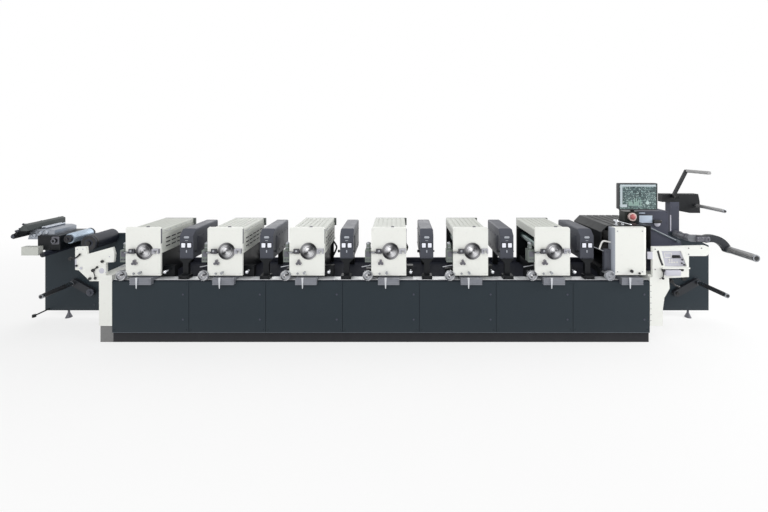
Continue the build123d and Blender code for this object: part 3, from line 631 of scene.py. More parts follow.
class PressColours(bpy.types.PropertyGroup):
    white_paint: colour_property("White paint", "Front plates and end columns",
                                 (0.925, 0.93, 0.91))
    hood_paint: colour_property("Hood paint", "Ribbed hoods of the units", (0.775, 0.785, 0.76))
    dark_paint: colour_property("Dark paint", "Base panels and back plates",
                                (0.165, 0.20, 0.225))
    deck_paint: colour_property("Deck paint", "Deck, console and column",
                                (0.27, 0.28, 0.33))
    plinth_paint: colour_property("Plinth paint", "Plinth under the base",
                                  (0.140, 0.143, 0.160))
    end_paint: colour_property("End paint", "Plinth under the left column",
                               (0.53, 0.53, 0.53))
    dryer_paint: colour_property("Dryer paint", "Dryer heads", (0.29, 0.30, 0.335))
    black_paint: colour_property("Black paint", "Frames, arms and hoods", (0.078, 0.088, 0.10))
    # Painted shade: the grey on the die cover's rounded left edge, where the edge turns away from
    # the light.
    edge_shade_paint: colour_property("Edge shade paint", "Rounded left edge of the die cover",
                                 (0.60, 0.62, 0.66))
    button_colour: colour_property("Button colour", "Faded cap of the stop button",
                                   (0.78, 0.43, 0.43))


class FittingSizes(bpy.types.PropertyGroup):
    journal_radius: length_property("Journal radius", "Face of each cylinder journal", 0.055)
    small_screw: length_property("Small screw", "Screws of rings and journals", 0.0042)
    plate_screw: length_property("Plate screw", "Screws of plates and columns", 0.0065)
    plate_screw_inset: length_property("Plate screw inset", "From the plate's edges", 0.024)
    panel_screw: length_property("Panel screw", "Screws of the base panels", 0.006)
    panel_screw_inset: length_property("Panel screw inset", "From the panel's edges", 0.026)
    ball_radius: length_property("Ball radius", "Bright balls beside the units", 0.0195)
    handwheel_face: length_property("Handwheel face", "Dished face of the handwheels", 0.050)
    dryer_button: length_property("Dryer button", "Width of the lit buttons", 0.042)


class StageSizes(bpy.types.PropertyGroup):
    camera_x: length_property("Camera side", "Sideways place of the camera", 0.185)
    camera_distance: length_property("Camera distance", "From the front of the base", 4.0)
    camera_height: length_property("Camera height", "Above the floor", 2.152)
    lens: FloatProperty(name="Lens", description="Focal length in millimetres",
                        default=17.25, min=5.0, max=200.0)
    shift_x: FloatProperty(name="Shift x", description="Sideways lens shift",
                           default=-0.0182)
    shift_y: FloatProperty(name="Shift y", description="Upward lens shift",
                           default=-0.1445)


def paint_nodes(finishes):
    """Gives each named solid its finish. A name that ends in a star stands for several."""
    for pattern, finish in finishes.items():
        names = [pattern]
        if pattern.endswith("*"):
            names = [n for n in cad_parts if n.startswith(pattern[:-1])]
        for name in names:
            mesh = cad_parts[name].data
            mesh.materials.clear()
            mesh.materials.append(FINISHES[finish])


def right_of_unit(finish):
    """1 on the right half of every print unit, 0 on the left half."""
    rows = unit_rows()
    pitch = (rows[-1, 0] - rows[0, 0]) / (UNIT_COUNT - 1)
    return ((finish.x - rows[0, 0]) / pitch + 1.0).fraction() < 0.5


def mix_finishes(c):
    """Makes every finish of the press from its colours."""
    FINISHES.update({
        "white": powder_coat("white_paint", c.white_paint, 0.42, 0.015, gloss=0.3),
        # White paint, with painted shade in grey on the rounded left 30 mm of the die cover.
        "die_white": powder_coat("die_cover_paint_and_edge_shade", c.white_paint, 0.42, 0.015,
                                 second=c.edge_shade_paint,
                                 where=lambda f: f.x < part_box("die_cover")[0].x + 0.030),
        "hood": powder_coat("hood_paint", c.hood_paint, 0.5, 0.03),
        "dark": powder_coat("dark_paint", c.dark_paint, 0.48, 0.04, low_darkening=0.08, gloss=0.2),
        "deck": powder_coat("deck_paint", c.deck_paint, 0.5, gloss=0.25),
        "deck_floor": powder_coat("deck_floor_paint", (0.165, 0.175, 0.215), 0.75, 0.08,
                                  gloss=0.08),
        "plinth": powder_coat("plinth_paint", c.plinth_paint, 0.6, 0.05, 0.15,
                              c.end_paint, lambda f: f.x < BASE_LEFT, 0.15),
        # Also the colour of the light strips under the base panels, a painted highlight of their
        # lower edge.
        "trim": powder_coat("trim_paint_and_edge_highlight", (0.36, 0.39, 0.42), 0.4),
        "dryer": powder_coat("dryer_paint", c.dryer_paint, 0.42, gloss=0.25),
        "black": powder_coat("black_paint", c.black_paint, 0.40, gloss=0.25),
        "rear_plate": powder_coat("rear_plate_paint", c.black_paint, 0.4, 0.05, 0.0,
                                  (0.34, 0.36, 0.35), lambda f: f.z > BASE_TOP + 0.42),
        "rider": powder_coat("rider_paint", c.black_paint, 0.4, 0.05, 0.0,
                             (0.62, 0.62, 0.62), lambda f: (f.z > 1.80) * (f.y < 0.200)),
        "table": powder_coat("table_paint", c.black_paint, 0.4, 0.05, 0.0,
                             (0.27, 0.29, 0.29), lambda f: f.z > 1.185),
        "grey": powder_coat("desk_grey", (0.78, 0.78, 0.82), 0.45, 0.03),
        "box_grey": powder_coat("valve_box_grey", (0.46, 0.49, 0.47), 0.45, 0.06),
        "clamp_grey": powder_coat("clamp_grey", (0.40, 0.40, 0.43), 0.4),
        "arm": powder_coat("arm_paint", (0.17, 0.18, 0.20), 0.38, 0.05, 0.0,
                           (0.44, 0.45, 0.47), lambda f: (f.x > 3.5) * (f.x < 3.70)
                           * (f.z > 0.8)),
        "box_black": powder_coat("stop_box_black", (0.11, 0.13, 0.12), 0.35, 0.08),
        "steel": ground_steel("ground_steel", (0.66, 0.67, 0.69), 0.34),
        "polished": ground_steel("polished_steel", (0.86, 0.87, 0.89), 0.18),
        "tray": ground_steel("tray_steel", (0.56, 0.57, 0.60), 0.42, metallic=0.5),
        "slides": ground_steel("slide_steel", (0.34, 0.34, 0.36), 0.36, metallic=0.8,
                               second=(0.72, 0.72, 0.75), where=right_of_unit),
        # The deck rail is near white and not metal: a painted reflection that stands in for the
        # sheen of the polished rail.
        "rail": ground_steel("rail_painted_sheen", (0.96, 0.97, 0.98), 0.2, (1.0, 40.0, 40.0), 0.0),
        # Journal, ring and handwheel faces: painted highlights and shade in sectors round each
        # axis.
        "journal": turned_face_painted_sheen("journal_steel_painted_sheen", (0.30, 0.30, 0.31), (0.93, 0.93, 0.94),
                               unit_rows(), middle("print_cylinder_1")[2]),
        "ring": turned_face_painted_sheen("ring_steel_painted_sheen", (0.15, 0.15, 0.16), (0.62, 0.62, 0.63),
                            unit_rows(), middle("print_cylinder_1")[2], 0.36),
        "wheel_face_painted_sheen": turned_face_painted_sheen("wheel_face_painted_sheen", (0.26, 0.26, 0.27), (0.90, 0.90, 0.91),
                                  unit_rows(), middle("handwheels")[2], 0.3, WHEEL_OFFSET),
        "wheel": ground_steel("wheel_steel", (0.66, 0.67, 0.69), 0.30, (60.0, 1.0, 60.0),
                              0.5),
        "alloy": ground_steel("turned_alloy", (0.72, 0.74, 0.77), 0.33, (4.0, 60.0, 4.0)),
        "block": ground_steel("block_alloy", (0.62, 0.64, 0.67), 0.32, (60.0, 2.0, 60.0)),
        "sleeve": ground_steel("sleeve_alloy", (0.70, 0.76, 0.82), 0.30, (4.0, 60.0, 4.0),
                               0.6),
        "rubber": turned_rubber("roller_rubber", (0.10, 0.10, 0.11)),
        "ink_rollers": ground_steel("ink_roller_coat", (0.26, 0.34, 0.33), 0.28,
                                    (2.0, 60.0, 2.0), 0.7),
        "rollers": turned_rubber("infeed_rubber", (0.12, 0.135, 0.18), 0.5),
        "dark_mandrel": turned_rubber("dark_mandrel", (0.20, 0.205, 0.215), 0.38,
                                      (0.70, 0.71, 0.72),
                                      lambda f: (f.y > 0.080).most(f.y < -0.190)),
        "pale_mandrel": ground_steel("pale_mandrel", (0.66, 0.66, 0.66), 0.38,
                                     (40.0, 1.0, 40.0), 0.55),
        "knobs": two_part_metal("adjuster_knob", (0.50, 0.49, 0.51), (0.72, 0.73, 0.75),
                                lambda f: f.z > BASE_TOP + 0.150),
        "plastic": moulded("screen_plastic", (0.12, 0.13, 0.14)),
        "knob": moulded("knob_plastic", (0.10, 0.10, 0.11), 0.35),
        "pale_plastic": moulded("pale_plastic", (0.86, 0.86, 0.85), 0.4),
        "button": moulded("button_plastic", c.button_colour, 0.35),
        "lamp_white": moulded("lamp_white", (0.91, 0.92, 0.96), 0.25, 900.0, 0.15),
        "window_blue": moulded("window_blue", (0.72, 0.77, 0.83), 0.2, 900.0, 0.12),
        "ring_pink": moulded("ring_plastic", (0.90, 0.80, 0.78), 0.35),
        "display": display_glass("display_glass", (middle("screen")[0], 1.560),
                                 (0.425, 0.276)),
    })


class PRESS_OT_paint_solids(bpy.types.Operator):
    """Gives every solid of the press its paint, steel or rubber"""

    bl_idname = "press.paint_solids"
    bl_label = "Paint the solids"

    def execute(self, context):
        mix_finishes(context.scene.press_colours)
        paint_nodes({
            "plinth": "plinth", "base_cabinet": "deck_floor", "front_panels": "dark",
            "rear_panels": "dark", "deck_rail": "rail", "rear_beam": "deck",
            "left_column": "white", "right_column": "white", "unit_bases": "black",
            "unit_front_plates": "white", "unit_rear_plates": "rear_plate",
            "unit_hoods": "hood", "bearing_rings": "ring", "slide_bars": "slides",
            "unit_rollers": "ink_rollers",
            "ink_trays": "tray", "tray_levers": "polished", "handwheels": "wheel",
            "adjuster_knobs": "knobs", "print_cylinder_*": "steel", "side_boxes": "box_grey",
            "dryer_heads": "dryer", "dryer_stems": "black", "die_cover": "die_white",
            "die_frame": "black", "die_hood": "black", "die_rollers": "rubber",
            "infeed_plate": "white", "unwind_plate": "dark", "mandrel_arms": "arm",
            "unwind_mandrel": "dark_mandrel", "foot_pedal": "black", "splice_table": "table",
            "guide_box": "black", "guide_block": "block", "infeed_rollers": "rollers",
            "web_flap": "hood", "outfeed_plate": "white", "rewind_plate": "dark",
            "control_desk": "grey", "outfeed_deck": "deck", "console": "deck",
            "stop_box": "box_black", "stop_button": "button", "screen_stem": "plastic",
            "screen": "plastic", "rewind_column": "deck", "rewind_head": "black",
            "rider_arm": "rider", "waste_mandrel": "pale_mandrel", "rewind_arm": "arm",
            "rewind_mandrel": "pale_mandrel", "lower_mandrel": "dark_mandrel",
            "levelling_feet": "clamp_grey",
        })
        return {"FINISHED"}


class PRESS_OT_fit_cylinders(bpy.types.Operator):
    """Turned faces of the cylinder journals and their bearing rings"""

    bl_idname = "press.fit_cylinders"
    bl_label = "Cylinder faces"

    def execute(self, context):
        sizes = context.scene.press_fittings
        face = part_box("print_cylinder_1")[0].y
        ring_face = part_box("bearing_rings")[0].y
        height = middle("print_cylinder_1")[2]
        r = sizes.journal_radius
        dish = [(-0.001, 0.0), (-0.001, 0.96 * r), (0.0015, r), (0.004, r), (0.0055, 0.95 * r),
                (0.0055, 0.80 * r), (0.003, 0.76 * r), (0.003, 0.70 * r), (0.0075, 0.62 * r),
                (0.0105, 0.40 * r), (0.0115, 0.36 * r), (0.0115, 0.24 * r), (0.004, 0.2 * r),
                (0.004, 0.0)]
        rear = [(-0.004, 0.0), (-0.004, 0.026), (0.0, 0.028), (0.010, 0.028),
                (0.012, 0.025), (0.012, 0.014), (0.007, 0.012), (0.007, 0.0)]
        for i, row in enumerate(unit_rows()):
            centre = row + (CYLINDER_OFFSET, face, height)
            heads = [screw(place, sizes.small_screw)
                     for place in circle_places(centre + (0.0, -0.0055, 0.0), 0.88 * r, 3, 30.0)]
            body = f"print_cylinder_{i + 1}"
            add_piece(f"journal_face_{i + 1}", [turned(dish, centre, steps=48)] + heads, "journal",
                      body=body)
            key = pad(centre + (-0.62 * r, -0.0055, -0.45 * r), 0.020, 0.014, 0.006, 0.004)
            add_piece(f"journal_key_{i + 1}", [key], "knob", body=body)
            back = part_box(body)[1].y
            shapes = [turned(rear, (centre[0], back + 0.002, height), REARWARD, 96, 24, 0.05)]
            add_piece(f"drive_wheel_{i + 1}", shapes, "steel", body=body)
        centre = (CYLINDER_OFFSET, ring_face, height)
        lip = [(-0.001, 1.06 * r), (0.0035, 1.06 * r), (0.0045, 1.10 * r), (0.0045, 1.18 * r),
               (0.001, 1.24 * r), (-0.001, 1.24 * r)]
        add_piece("bearing_lips", [turned_ring(lip, centre, steps=48)], "journal",
                  rows=unit_rows())
        outer = [(-0.001, 1.46 * r), (0.003, 1.46 * r), (0.005, 1.50 * r), (0.005, 1.60 * r),
                 (0.002, 1.655 * r), (-0.001, 1.655 * r)]
        heads = [screw(place, sizes.small_screw)
                 for place in circle_places(centre, 1.34 * r, 8, 22.5)]
        rings = [turned_ring(outer, centre, steps=48)] + heads
        add_piece("bearing_rims", rings, "ring", rows=unit_rows())
        self.add_rear_flanges(sizes)
        return {"FINISHED"}

    def add_rear_flanges(self, sizes):
        """A flange and its screws round each journal, behind the rear side plate."""
        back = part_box("unit_rear_plates")[1].y
        height = middle("print_cylinder_1")[2]
        centre = (CYLINDER_OFFSET, back, height)
        section = [(-0.001, 0.034), (0.007, 0.034), (0.009, 0.038), (0.009, 0.058),
                   (0.006, 0.062), (-0.001, 0.062)]
        heads = [screw(place, sizes.small_screw, REARWARD)
                 for place in circle_places((centre[0], back + 0.009, height), 0.050, 6, 15.0)]
        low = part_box("unit_rear_plates")[0].z
        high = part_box("unit_rear_plates")[1].z
        heads += screws_at((-0.150, 0.150), back, (low + 0.080, high - 0.030),
                           sizes.plate_screw, REARWARD)
        cover = pad((-0.060, back, low + 0.200), 0.140, 0.100, 0.012, 0.010, REARWARD, 0.004)
        add_piece("rear_flanges", [turned_ring(section, centre, REARWARD, 48), cover] + heads,
                  "clamp_grey", rows=unit_rows())


class PRESS_OT_fit_unit_plates(bpy.types.Operator):
    """Screws, latches, knob caps, balls and handwheel faces on the print units"""

    bl_idname = "press.fit_unit_plates"
    bl_label = "Unit fittings"

    def execute(self, context):
        sizes = context.scene.press_fittings
        rows = unit_rows()
        low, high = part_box("unit_front_plates")
        half = (high.x - low.x - (rows[-1, 0] - rows[0, 0])) / 2
        inset = sizes.plate_screw_inset
        heads = screws_at((-half + inset, half - inset), FRONT,
                          (low.z + inset, high.z - inset), sizes.plate_screw)
        add_piece("plate_screws", heads, "white", rows)
        latch = pad((0.042, FRONT + 0.020, high.z - 0.001), 0.034, 0.018, 0.010, 0.007, UPWARD,
                    0.004)
        strip_z = (low.z + 0.66 * (high.z - low.z), high.z - 0.016)
        strip = pad((half, FRONT + 0.0125, (strip_z[0] + strip_z[1]) / 2), 0.018,
                    strip_z[1] - strip_z[0], 0.004, 0.003, RIGHTWARD)
        add_piece("plate_latches", [latch, strip], "clamp_grey", rows)
        self.add_knobs(rows, sizes)
        self.add_handwheel_faces(rows, sizes)
        self.add_clamp_screws(rows)
        return {"FINISHED"}

    def add_knobs(self, rows, sizes):
        """Caps on the lobed knobs, faces on the pulls and a ball over each ball stalk."""
        lobe = (-0.087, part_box("adjuster_knobs")[0].y + 0.004, BASE_TOP + 0.203)
        domes = [turned([(-0.001, 0.0), (-0.001, 0.010), (0.003, 0.008), (0.0045, 0.0)], place,
                        steps=16) for place in circle_places(lobe, 0.019, 3, 90.0)]
        hub = knob(lobe, 0.013, 0.010)
        small = knob((-0.100, FRONT, BASE_TOP + 0.083), 0.011, 0.014, flutes=10)
        add_piece("lobe_caps", domes + [hub], "clamp_grey", rows)
        lever = rod((-0.300, FRONT + 0.050, BASE_TOP + 0.136),
                    (-0.184, FRONT + 0.050, BASE_TOP + 0.158), 0.006)
        pull = knob((-0.022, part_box("adjuster_knobs")[0].y, BASE_TOP + 0.097), 0.014, 0.014,
                    flutes=12)
        add_piece("pull_faces", [pull, small, lever], "steel", rows)
        stalk = (0.239, FRONT, BASE_TOP + 0.098)
        collar = turned([(-0.004, 0.0), (-0.004, 0.011), (0.012, 0.011), (0.014, 0.009),
                         (0.014, 0.0)], (stalk[0], FRONT + 0.034, stalk[2]), REARWARD)
        add_piece("ball_faces", [ball(stalk, sizes.ball_radius), collar], "polished",
                  rows)

    def add_handwheel_faces(self, rows, sizes):
        """A dished face with a bead at the rim, a hub cap and a spinner on every handwheel."""
        low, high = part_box("handwheels")
        r = sizes.handwheel_face
        centre = np.array([WHEEL_OFFSET, low.y, (low.z + high.z) / 2])
        dish = [(-0.012, 0.0), (-0.012, r), (0.002, r), (0.005, 0.95 * r), (0.005, 0.86 * r),
                (0.0, 0.80 * r), (-0.003, 0.5 * r), (0.003, 0.36 * r), (0.010, 0.32 * r),
                (0.013, 0.24 * r), (0.013, 0.0)]
        spinner = knob(centre + (0.58 * r, 0.0, 0.30 * r), 0.010, 0.026)
        face = joined([turned(dish, centre, steps=40), spinner])
        add_piece("handwheel_faces", [face], "wheel_face_painted_sheen", rows)
        add_piece("die_wheel_face", [face], "steel", rows=[(middle("die_cover")[0], 0.0,
                  0.0)])

    def add_clamp_screws(self, rows):
        """A fluted clamping screw on each clamp of the slide bars."""
        low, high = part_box("slide_bars")
        z = high.z - 0.018
        left = knob((-0.108, low.y, z), 0.012, 0.014, flutes=8)
        right = knob((0.134, low.y, z - 0.006), 0.010, 0.012, flutes=8)
        bar = rod((-0.150, low.y + 0.006, z - 0.020), (-0.192, low.y + 0.006, z - 0.024), 0.005)
        add_piece("clamp_screws", [left, right, bar], "steel", rows)


class PRESS_OT_fit_unit_sides(bpy.types.Operator):
    """Valve caps and fronts, guard hoops, hood rivets and louvre lips of the units"""

    bl_idname = "press.fit_unit_sides"
    bl_label = "Unit side fittings"

    def execute(self, context):
        rows = unit_rows()
        low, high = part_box("side_boxes")
        x = low.x - rows[0, 0] + 0.035
        y = low.y + 0.045
        cap = turned([(-0.002, 0.0), (-0.002, 0.026), (0.006, 0.026), (0.011, 0.021),
                      (0.013, 0.010), (0.018, 0.009), (0.020, 0.006), (0.020, 0.0)],
                     (x, y, high.z), UPWARD)
        band = turned_ring([(0.0, 0.0235), (0.006, 0.0235), (0.006, 0.027), (0.0, 0.027)],
                           (x, y, high.z - 0.040), UPWARD)
        add_piece("valve_caps", [cap, band], "steel", rows)
        stubs = [knob((x + dx, low.y, low.z + 0.030), 0.008, 0.014, flutes=6)
                 for dx in (-0.016, 0.016)]
        lid = pad((x, low.y, low.z + 0.088), 0.050, 0.058, 0.004, 0.004)
        add_piece("valve_fronts", stubs + [lid], "clamp_grey", rows)
        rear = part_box("unit_rear_plates")[0].y
        path = smooth_path([(0.160, rear, 0.955), (0.180, rear - 0.016, 0.940),
                            (0.212, rear - 0.024, 0.892), (0.218, rear - 0.024, 0.858),
                            (0.190, rear - 0.022, 0.790), (0.165, rear - 0.014, 0.748),
                            (0.156, rear, 0.730)], 6)
        add_piece("guard_hoops", [swept(path, 0.022, normal=(0.0, -1.0, 0.0))], "rubber",
                  rows)
        self.add_hood_trim(rows)
        self.add_louvres(rows)
        return {"FINISHED"}

    def add_louvres(self, rows):
        """A scooped lip over each slot of the louvred skirt. Behind the slots is a dark sheet and
        on each slot a dark pad, both painted shade standing for the shadow inside the hood.
        Each lip is half a superellipse bar whose thickness fades to its ends as a cosine."""
        skirt = 0.191
        centre_y = -0.0125
        centre_z = 1.075
        lips = []
        for z in centre_z + LOUVRE_ROWS:
            for y in centre_y + LOUVRE_COLUMNS:
                share = np.linspace(-1.0, 1.0, 9)
                reach = 0.006 * np.cos(share * math.pi / 2.2)
                path = np.stack([skirt + reach - 0.003, y + 0.038 * share,
                                 np.full(9, z + 0.0095)], -1)
                lips.append(swept(path, 0.005, 0.005, (1.0, 0.0, 0.0), 3.0, 8))
        add_piece("louvre_lips", lips, "hood", rows)
        # Painted shade: a dark sheet inside the hood behind the slots, and a dark pad over each
        # slot's opening.
        back = pad((skirt - 0.014, centre_y, centre_z), 0.520, 0.150, 0.004, 0.004, RIGHTWARD,
                   0.001)
        slot_shade_pads = [pad((skirt - 0.0005, y, z - 0.001), 0.078, 0.014, 0.0015, 0.005, RIGHTWARD,
                      0.0005)
                  for z in centre_z + LOUVRE_ROWS for y in centre_y + LOUVRE_COLUMNS]
        add_piece("louvre_shade_pads", [back] + slot_shade_pads, "rubber", rows)

    def add_hood_trim(self, rows):
        """Rivets along the hood's side band and a folded grip under its front edge."""
        low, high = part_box("unit_hoods")
        side = 0.185
        places = np.linspace(low.y + 0.06, high.y - 0.06, 6)
        rivets = [turned([(-0.001, 0.0), (-0.001, 0.006), (0.002, 0.0045), (0.003, 0.0)],
                         (side, y, high.z - 0.026), RIGHTWARD, 10) for y in places]
        grip = [swept([(side + 0.004, y - 0.040, high.z - 0.030),
                       (side + 0.012, y - 0.030, high.z - 0.030),
                       (side + 0.012, y + 0.030, high.z - 0.030),
                       (side + 0.004, y + 0.040, high.z - 0.030)], 0.006,
                      normal=(0.0, 0.0, 1.0), steps=8) for y in (low.y + 0.12,)]
        add_piece("hood_rivets", rivets + grip, "steel", rows)


class PRESS_OT_fit_dryers(bpy.types.Operator):
    """Plain oval plate, lit buttons, slot, seam and side knob of every dryer"""

    bl_idname = "press.fit_dryers"
    bl_label = "Dryer fittings"

    def execute(self, context):
        sizes = context.scene.press_fittings
        rows = dryer_rows()
        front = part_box("dryer_heads")[0].y
        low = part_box("dryer_heads")[0].z
        oval = pad((0.0, front - 0.0005, low + 0.236), 0.058, 0.024, 0.003, 0.0119)
        mark = pad((0.0, front - 0.0005, low + 0.200), 0.030, 0.006, 0.002, 0.002)
        slot = pad((0.0, front - 0.0005, low + 0.080), 0.014, 0.030, 0.003, 0.006)
        add_piece("dryer_plates", [oval, mark, slot], "alloy", rows)
        w = sizes.dryer_button
        z = low + 0.148
        lamps = [pad((x, front - 0.001, z), w, 1.15 * w, 0.008, 0.006, ease=0.003)
                 for x in (-0.033, 0.033)]
        add_piece("dryer_buttons", lamps, "lamp_white", rows)
        section = [(0.0, -0.001), (0.0, 0.004), (0.003, 0.005), (0.006, 0.004), (0.006, -0.001)]
        frames = [rim((x, front, z), w + 0.002, 1.15 * w + 0.002, 0.007, section)
                  for x in (-0.033, 0.033)]
        side = -DRYER_WIDTH / 2
        knobs = [knob((side, front + 0.040, low + 0.072), 0.014, 0.030, LEFTWARD, 10),
                 knob((-side, front + 0.040, low + 0.072), 0.010, 0.014, RIGHTWARD, 10)]
        foot = [screw((dx, FRONT + 0.030, BASE_TOP + 0.026), 0.009) for dx in (-0.036, 0.036)]
        add_piece("dryer_bezels", frames + knobs + foot, "black", rows)
        self.add_seams(rows, front, low)
        return {"FINISHED"}

    def add_seams(self, rows, front, low):
        """A raised cover seam along both sides of the head, and screws along it."""
        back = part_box("dryer_heads")[1].y
        parts = []
        for way, x in ((LEFTWARD, -DRYER_WIDTH / 2), (RIGHTWARD, DRYER_WIDTH / 2)):
            middle_y = (front + back) / 2
            parts.append(pad((x, middle_y + 0.030, low + 0.135), back - front - 0.12, 0.200,
                             0.003, 0.012, way))
            parts += [screw((x + 0.003 * way[0], y, z), 0.006, way, 8)
                      for y in np.linspace(front + 0.11, back - 0.05, 5)
                      for z in (low + 0.048, low + 0.222)]
        vents = [pad((0.0, back, low + z), 0.090, 0.010, 0.004, 0.004, REARWARD)
                 for z in (0.10, 0.13, 0.16, 0.19)]
        add_piece("dryer_side_covers", parts + vents, "dryer", rows)


def pressed_sheet(left, right, low, high):
    """A rear panel with pressed cooling slots. Its outer skin is a grid: the depth at a point
    is a slot's depth times a ramp along the panel times a ramp up it, each 0 outside the
    slots and 1 inside. Four sides and a back close it."""
    middle_x = (left + right) / 2
    x = np.concatenate([[left], middle_x + np.array([-0.136, -0.130, 0.130, 0.136]), [right]])
    along = np.array([0.0, 0.0, 1.0, 1.0, 0.0, 0.0])
    slots = high - 0.10 - 0.024 * np.arange(5)[::-1]
    z = np.concatenate([[low], (slots[:, None] + [-0.007, -0.004, 0.004, 0.007]).ravel(),
                        [high]])
    up = np.concatenate([[0.0], np.tile([0.0, 1.0, 1.0, 0.0], 5), [0.0]])
    depth = REAR_FACE - 0.004 * along[None, :] * up[:, None]
    grid = np.stack([np.broadcast_to(x, depth.shape), depth,
                     np.broadcast_to(z[:, None], depth.shape)], -1)
    rows, columns = depth.shape
    here = np.arange(rows * columns).reshape(rows, columns)
    quads = np.stack([here[:-1, :-1], here[1:, :-1], here[1:, 1:], here[:-1, 1:]],
                     -1).reshape(-1, 4)
    edge = np.concatenate([here[0, :-1], here[:-1, -1], here[-1, :0:-1], here[:0:-1, 0]])
    inner = grid.reshape(-1, 3)[edge] * (1.0, 0.0, 1.0) + (0.0, SHEET_BACK, 0.0)
    count = rows * columns
    ring = count + np.arange(len(edge))
    sides = np.stack([edge, np.roll(edge, -1), np.roll(ring, -1), ring], -1)
    centre = np.array([[middle_x, SHEET_BACK, (low + high) / 2]])
    fan = np.stack([ring, np.roll(ring, -1), np.full(len(ring), count + len(ring))], -1)
    return outward(np.vstack([grid.reshape(-1, 3), inner, centre]),
                   np.vstack([quads, sides]), fan)


class PRESS_OT_fit_base(bpy.types.Operator):
    """Locks, screws, light strips that stand for the highlight on the panels' lower edge, and
    pressed rear sheets of the long base
    """

    bl_idname = "press.fit_base"
    bl_label = "Base fittings"

    def execute(self, context):
        sizes = context.scene.press_fittings
        low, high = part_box("front_panels")
        count = UNIT_COUNT + 1
        pitch = (BASE_RIGHT - BASE_LEFT) / count
        lefts = BASE_LEFT + np.arange(count) * pitch
        inset = sizes.panel_screw_inset
        screws = []
        locks = []
        for face, facing in ((FRONT, FRONTWARD), (REAR_FACE, REARWARD)):
            screws += [screw((x + dx, face, z), sizes.panel_screw, facing, 10)
                       for x in lefts for dx in (inset, pitch - inset)
                       for z in (low.z + inset, high.z - inset)]
            locks += [knob((x + pitch - 2.4 * inset, face, z), 0.011, 0.004, facing)
                      for x in lefts for z in (low.z + 0.14, high.z - 0.14)]
        add_piece("panel_screws", screws, "dark")
        add_piece("panel_locks", locks, "deck")
        # Painted highlight: a light strip under the front and back panels, standing for the
        # highlight on their lower edge.
        edge_highlight_strips = []
        for face, facing in ((FRONT, FRONTWARD), (BACK, REARWARD)):
            edge_highlight_strips.append(pad(((BASE_LEFT + BASE_RIGHT) / 2, face + 0.010 * -facing[1], low.z
                              - 0.003), BASE_RIGHT - BASE_LEFT - 0.002, 0.005, 0.010, 0.002,
                             facing, 0.001))
        add_piece("plinth_edge_highlights", edge_highlight_strips, "trim")
        sheets = [pressed_sheet(x + 0.002, x + pitch - 0.002, low.z, high.z)
                  for x in lefts]
        piece = add_piece("rear_sheets", sheets, "dark")
        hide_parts("rear_panels")
        self.add_column_screws(sizes)
        return {"FINISHED"}

    def add_column_screws(self, sizes):
        """Screws down both end columns, front and outer side."""
        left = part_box("left_column")
        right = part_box("right_column")
        heights = np.linspace(left[0].z + 0.06, BASE_TOP - 0.05, 7)
        front = left[0].y
        parts = [screw((left[1].x - 0.010, front, z), sizes.small_screw) for z in heights]
        parts += [screw((right[0].x + 0.010, FRONT, z), sizes.small_screw) for z in heights]
        for z in heights[::2]:
            parts += [screw((left[0].x, y, z), sizes.plate_screw, LEFTWARD)
                      for y in (-0.28, 0.0, 0.19)]
            parts += [screw((right[1].x, y, z), sizes.plate_screw, RIGHTWARD)
                      for y in (-0.28, 0.0, 0.19)]
        add_piece("column_screws", parts, "clamp_grey")


class PRESS_OT_fit_die_station(bpy.types.Operator):
    """Knobs, hooked handle, side guard, stay and screws of the die station"""

    bl_idname = "press.fit_die_station"
    bl_label = "Die station fittings"

    def execute(self, context):
        low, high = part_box("die_cover")
        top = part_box("die_hood")[1].z
        hook = smooth_path([(low.x + 0.004, FRONT + 0.040, 1.086), (2.480, FRONT + 0.040, 1.094),
                            (2.446, FRONT + 0.040, 1.099), (2.424, FRONT + 0.040, 1.086),
                            (2.410, FRONT + 0.040, 1.055), (2.396, FRONT + 0.040, 1.012)], 6)
        handle = swept(hook, 0.017, 0.012, square=3.0)
        add_piece("die_handle", [handle], "pale_plastic")
        guard = pad(((2.446 + low.x) / 2, FRONT + 0.070, 0.892), low.x - 2.446, 0.236, 0.040,
                    0.008, ease=0.004)
        bar = rod((2.450, FRONT + 0.052, 0.985), (2.362, FRONT + 0.092, 1.020), 0.005)
        pivots = [screw((2.480, FRONT + 0.030, z), 0.008) for z in (0.80, 0.98)]
        add_piece("die_guard", [guard] + pivots, "dryer")
        add_piece("die_guard_bar", [bar], "steel")
        knobs = knobs_at(FRONT, [(2.718, 0.785, 0.017, 0.024, 8), (2.805, 0.760, 0.012, 0.016)])
        add_piece("die_knobs", knobs, "knob")
        post = turned([(-0.002, 0.0), (-0.002, 0.022), (0.006, 0.022), (0.010, 0.012),
                       (0.030, 0.012), (0.036, 0.024), (0.052, 0.026), (0.060, 0.020),
                       (0.063, 0.0)], (2.618, FRONT + 0.110, top), UPWARD, 28)
        foot = turned([(-0.002, 0.0), (-0.002, 0.016), (0.010, 0.016), (0.016, 0.010),
                       (0.016, 0.0)], (2.700, FRONT + 0.120, top), UPWARD, 20)
        stay = rod((2.626, FRONT + 0.110, top + 0.046), (2.772, FRONT + 0.092, top + 0.010),
                   0.006)
        end = ball((2.772, FRONT + 0.092, top + 0.009), 0.011, 16)
        add_piece("die_stay", [post, foot, stay, end], "polished")
        corners = screws_at((low.x + 0.055, high.x - 0.055), FRONT,
                            (low.z + 0.035, high.z - 0.035), 0.006)
        add_piece("die_cover_screws", corners, "steel")
        return {"FINISHED"}


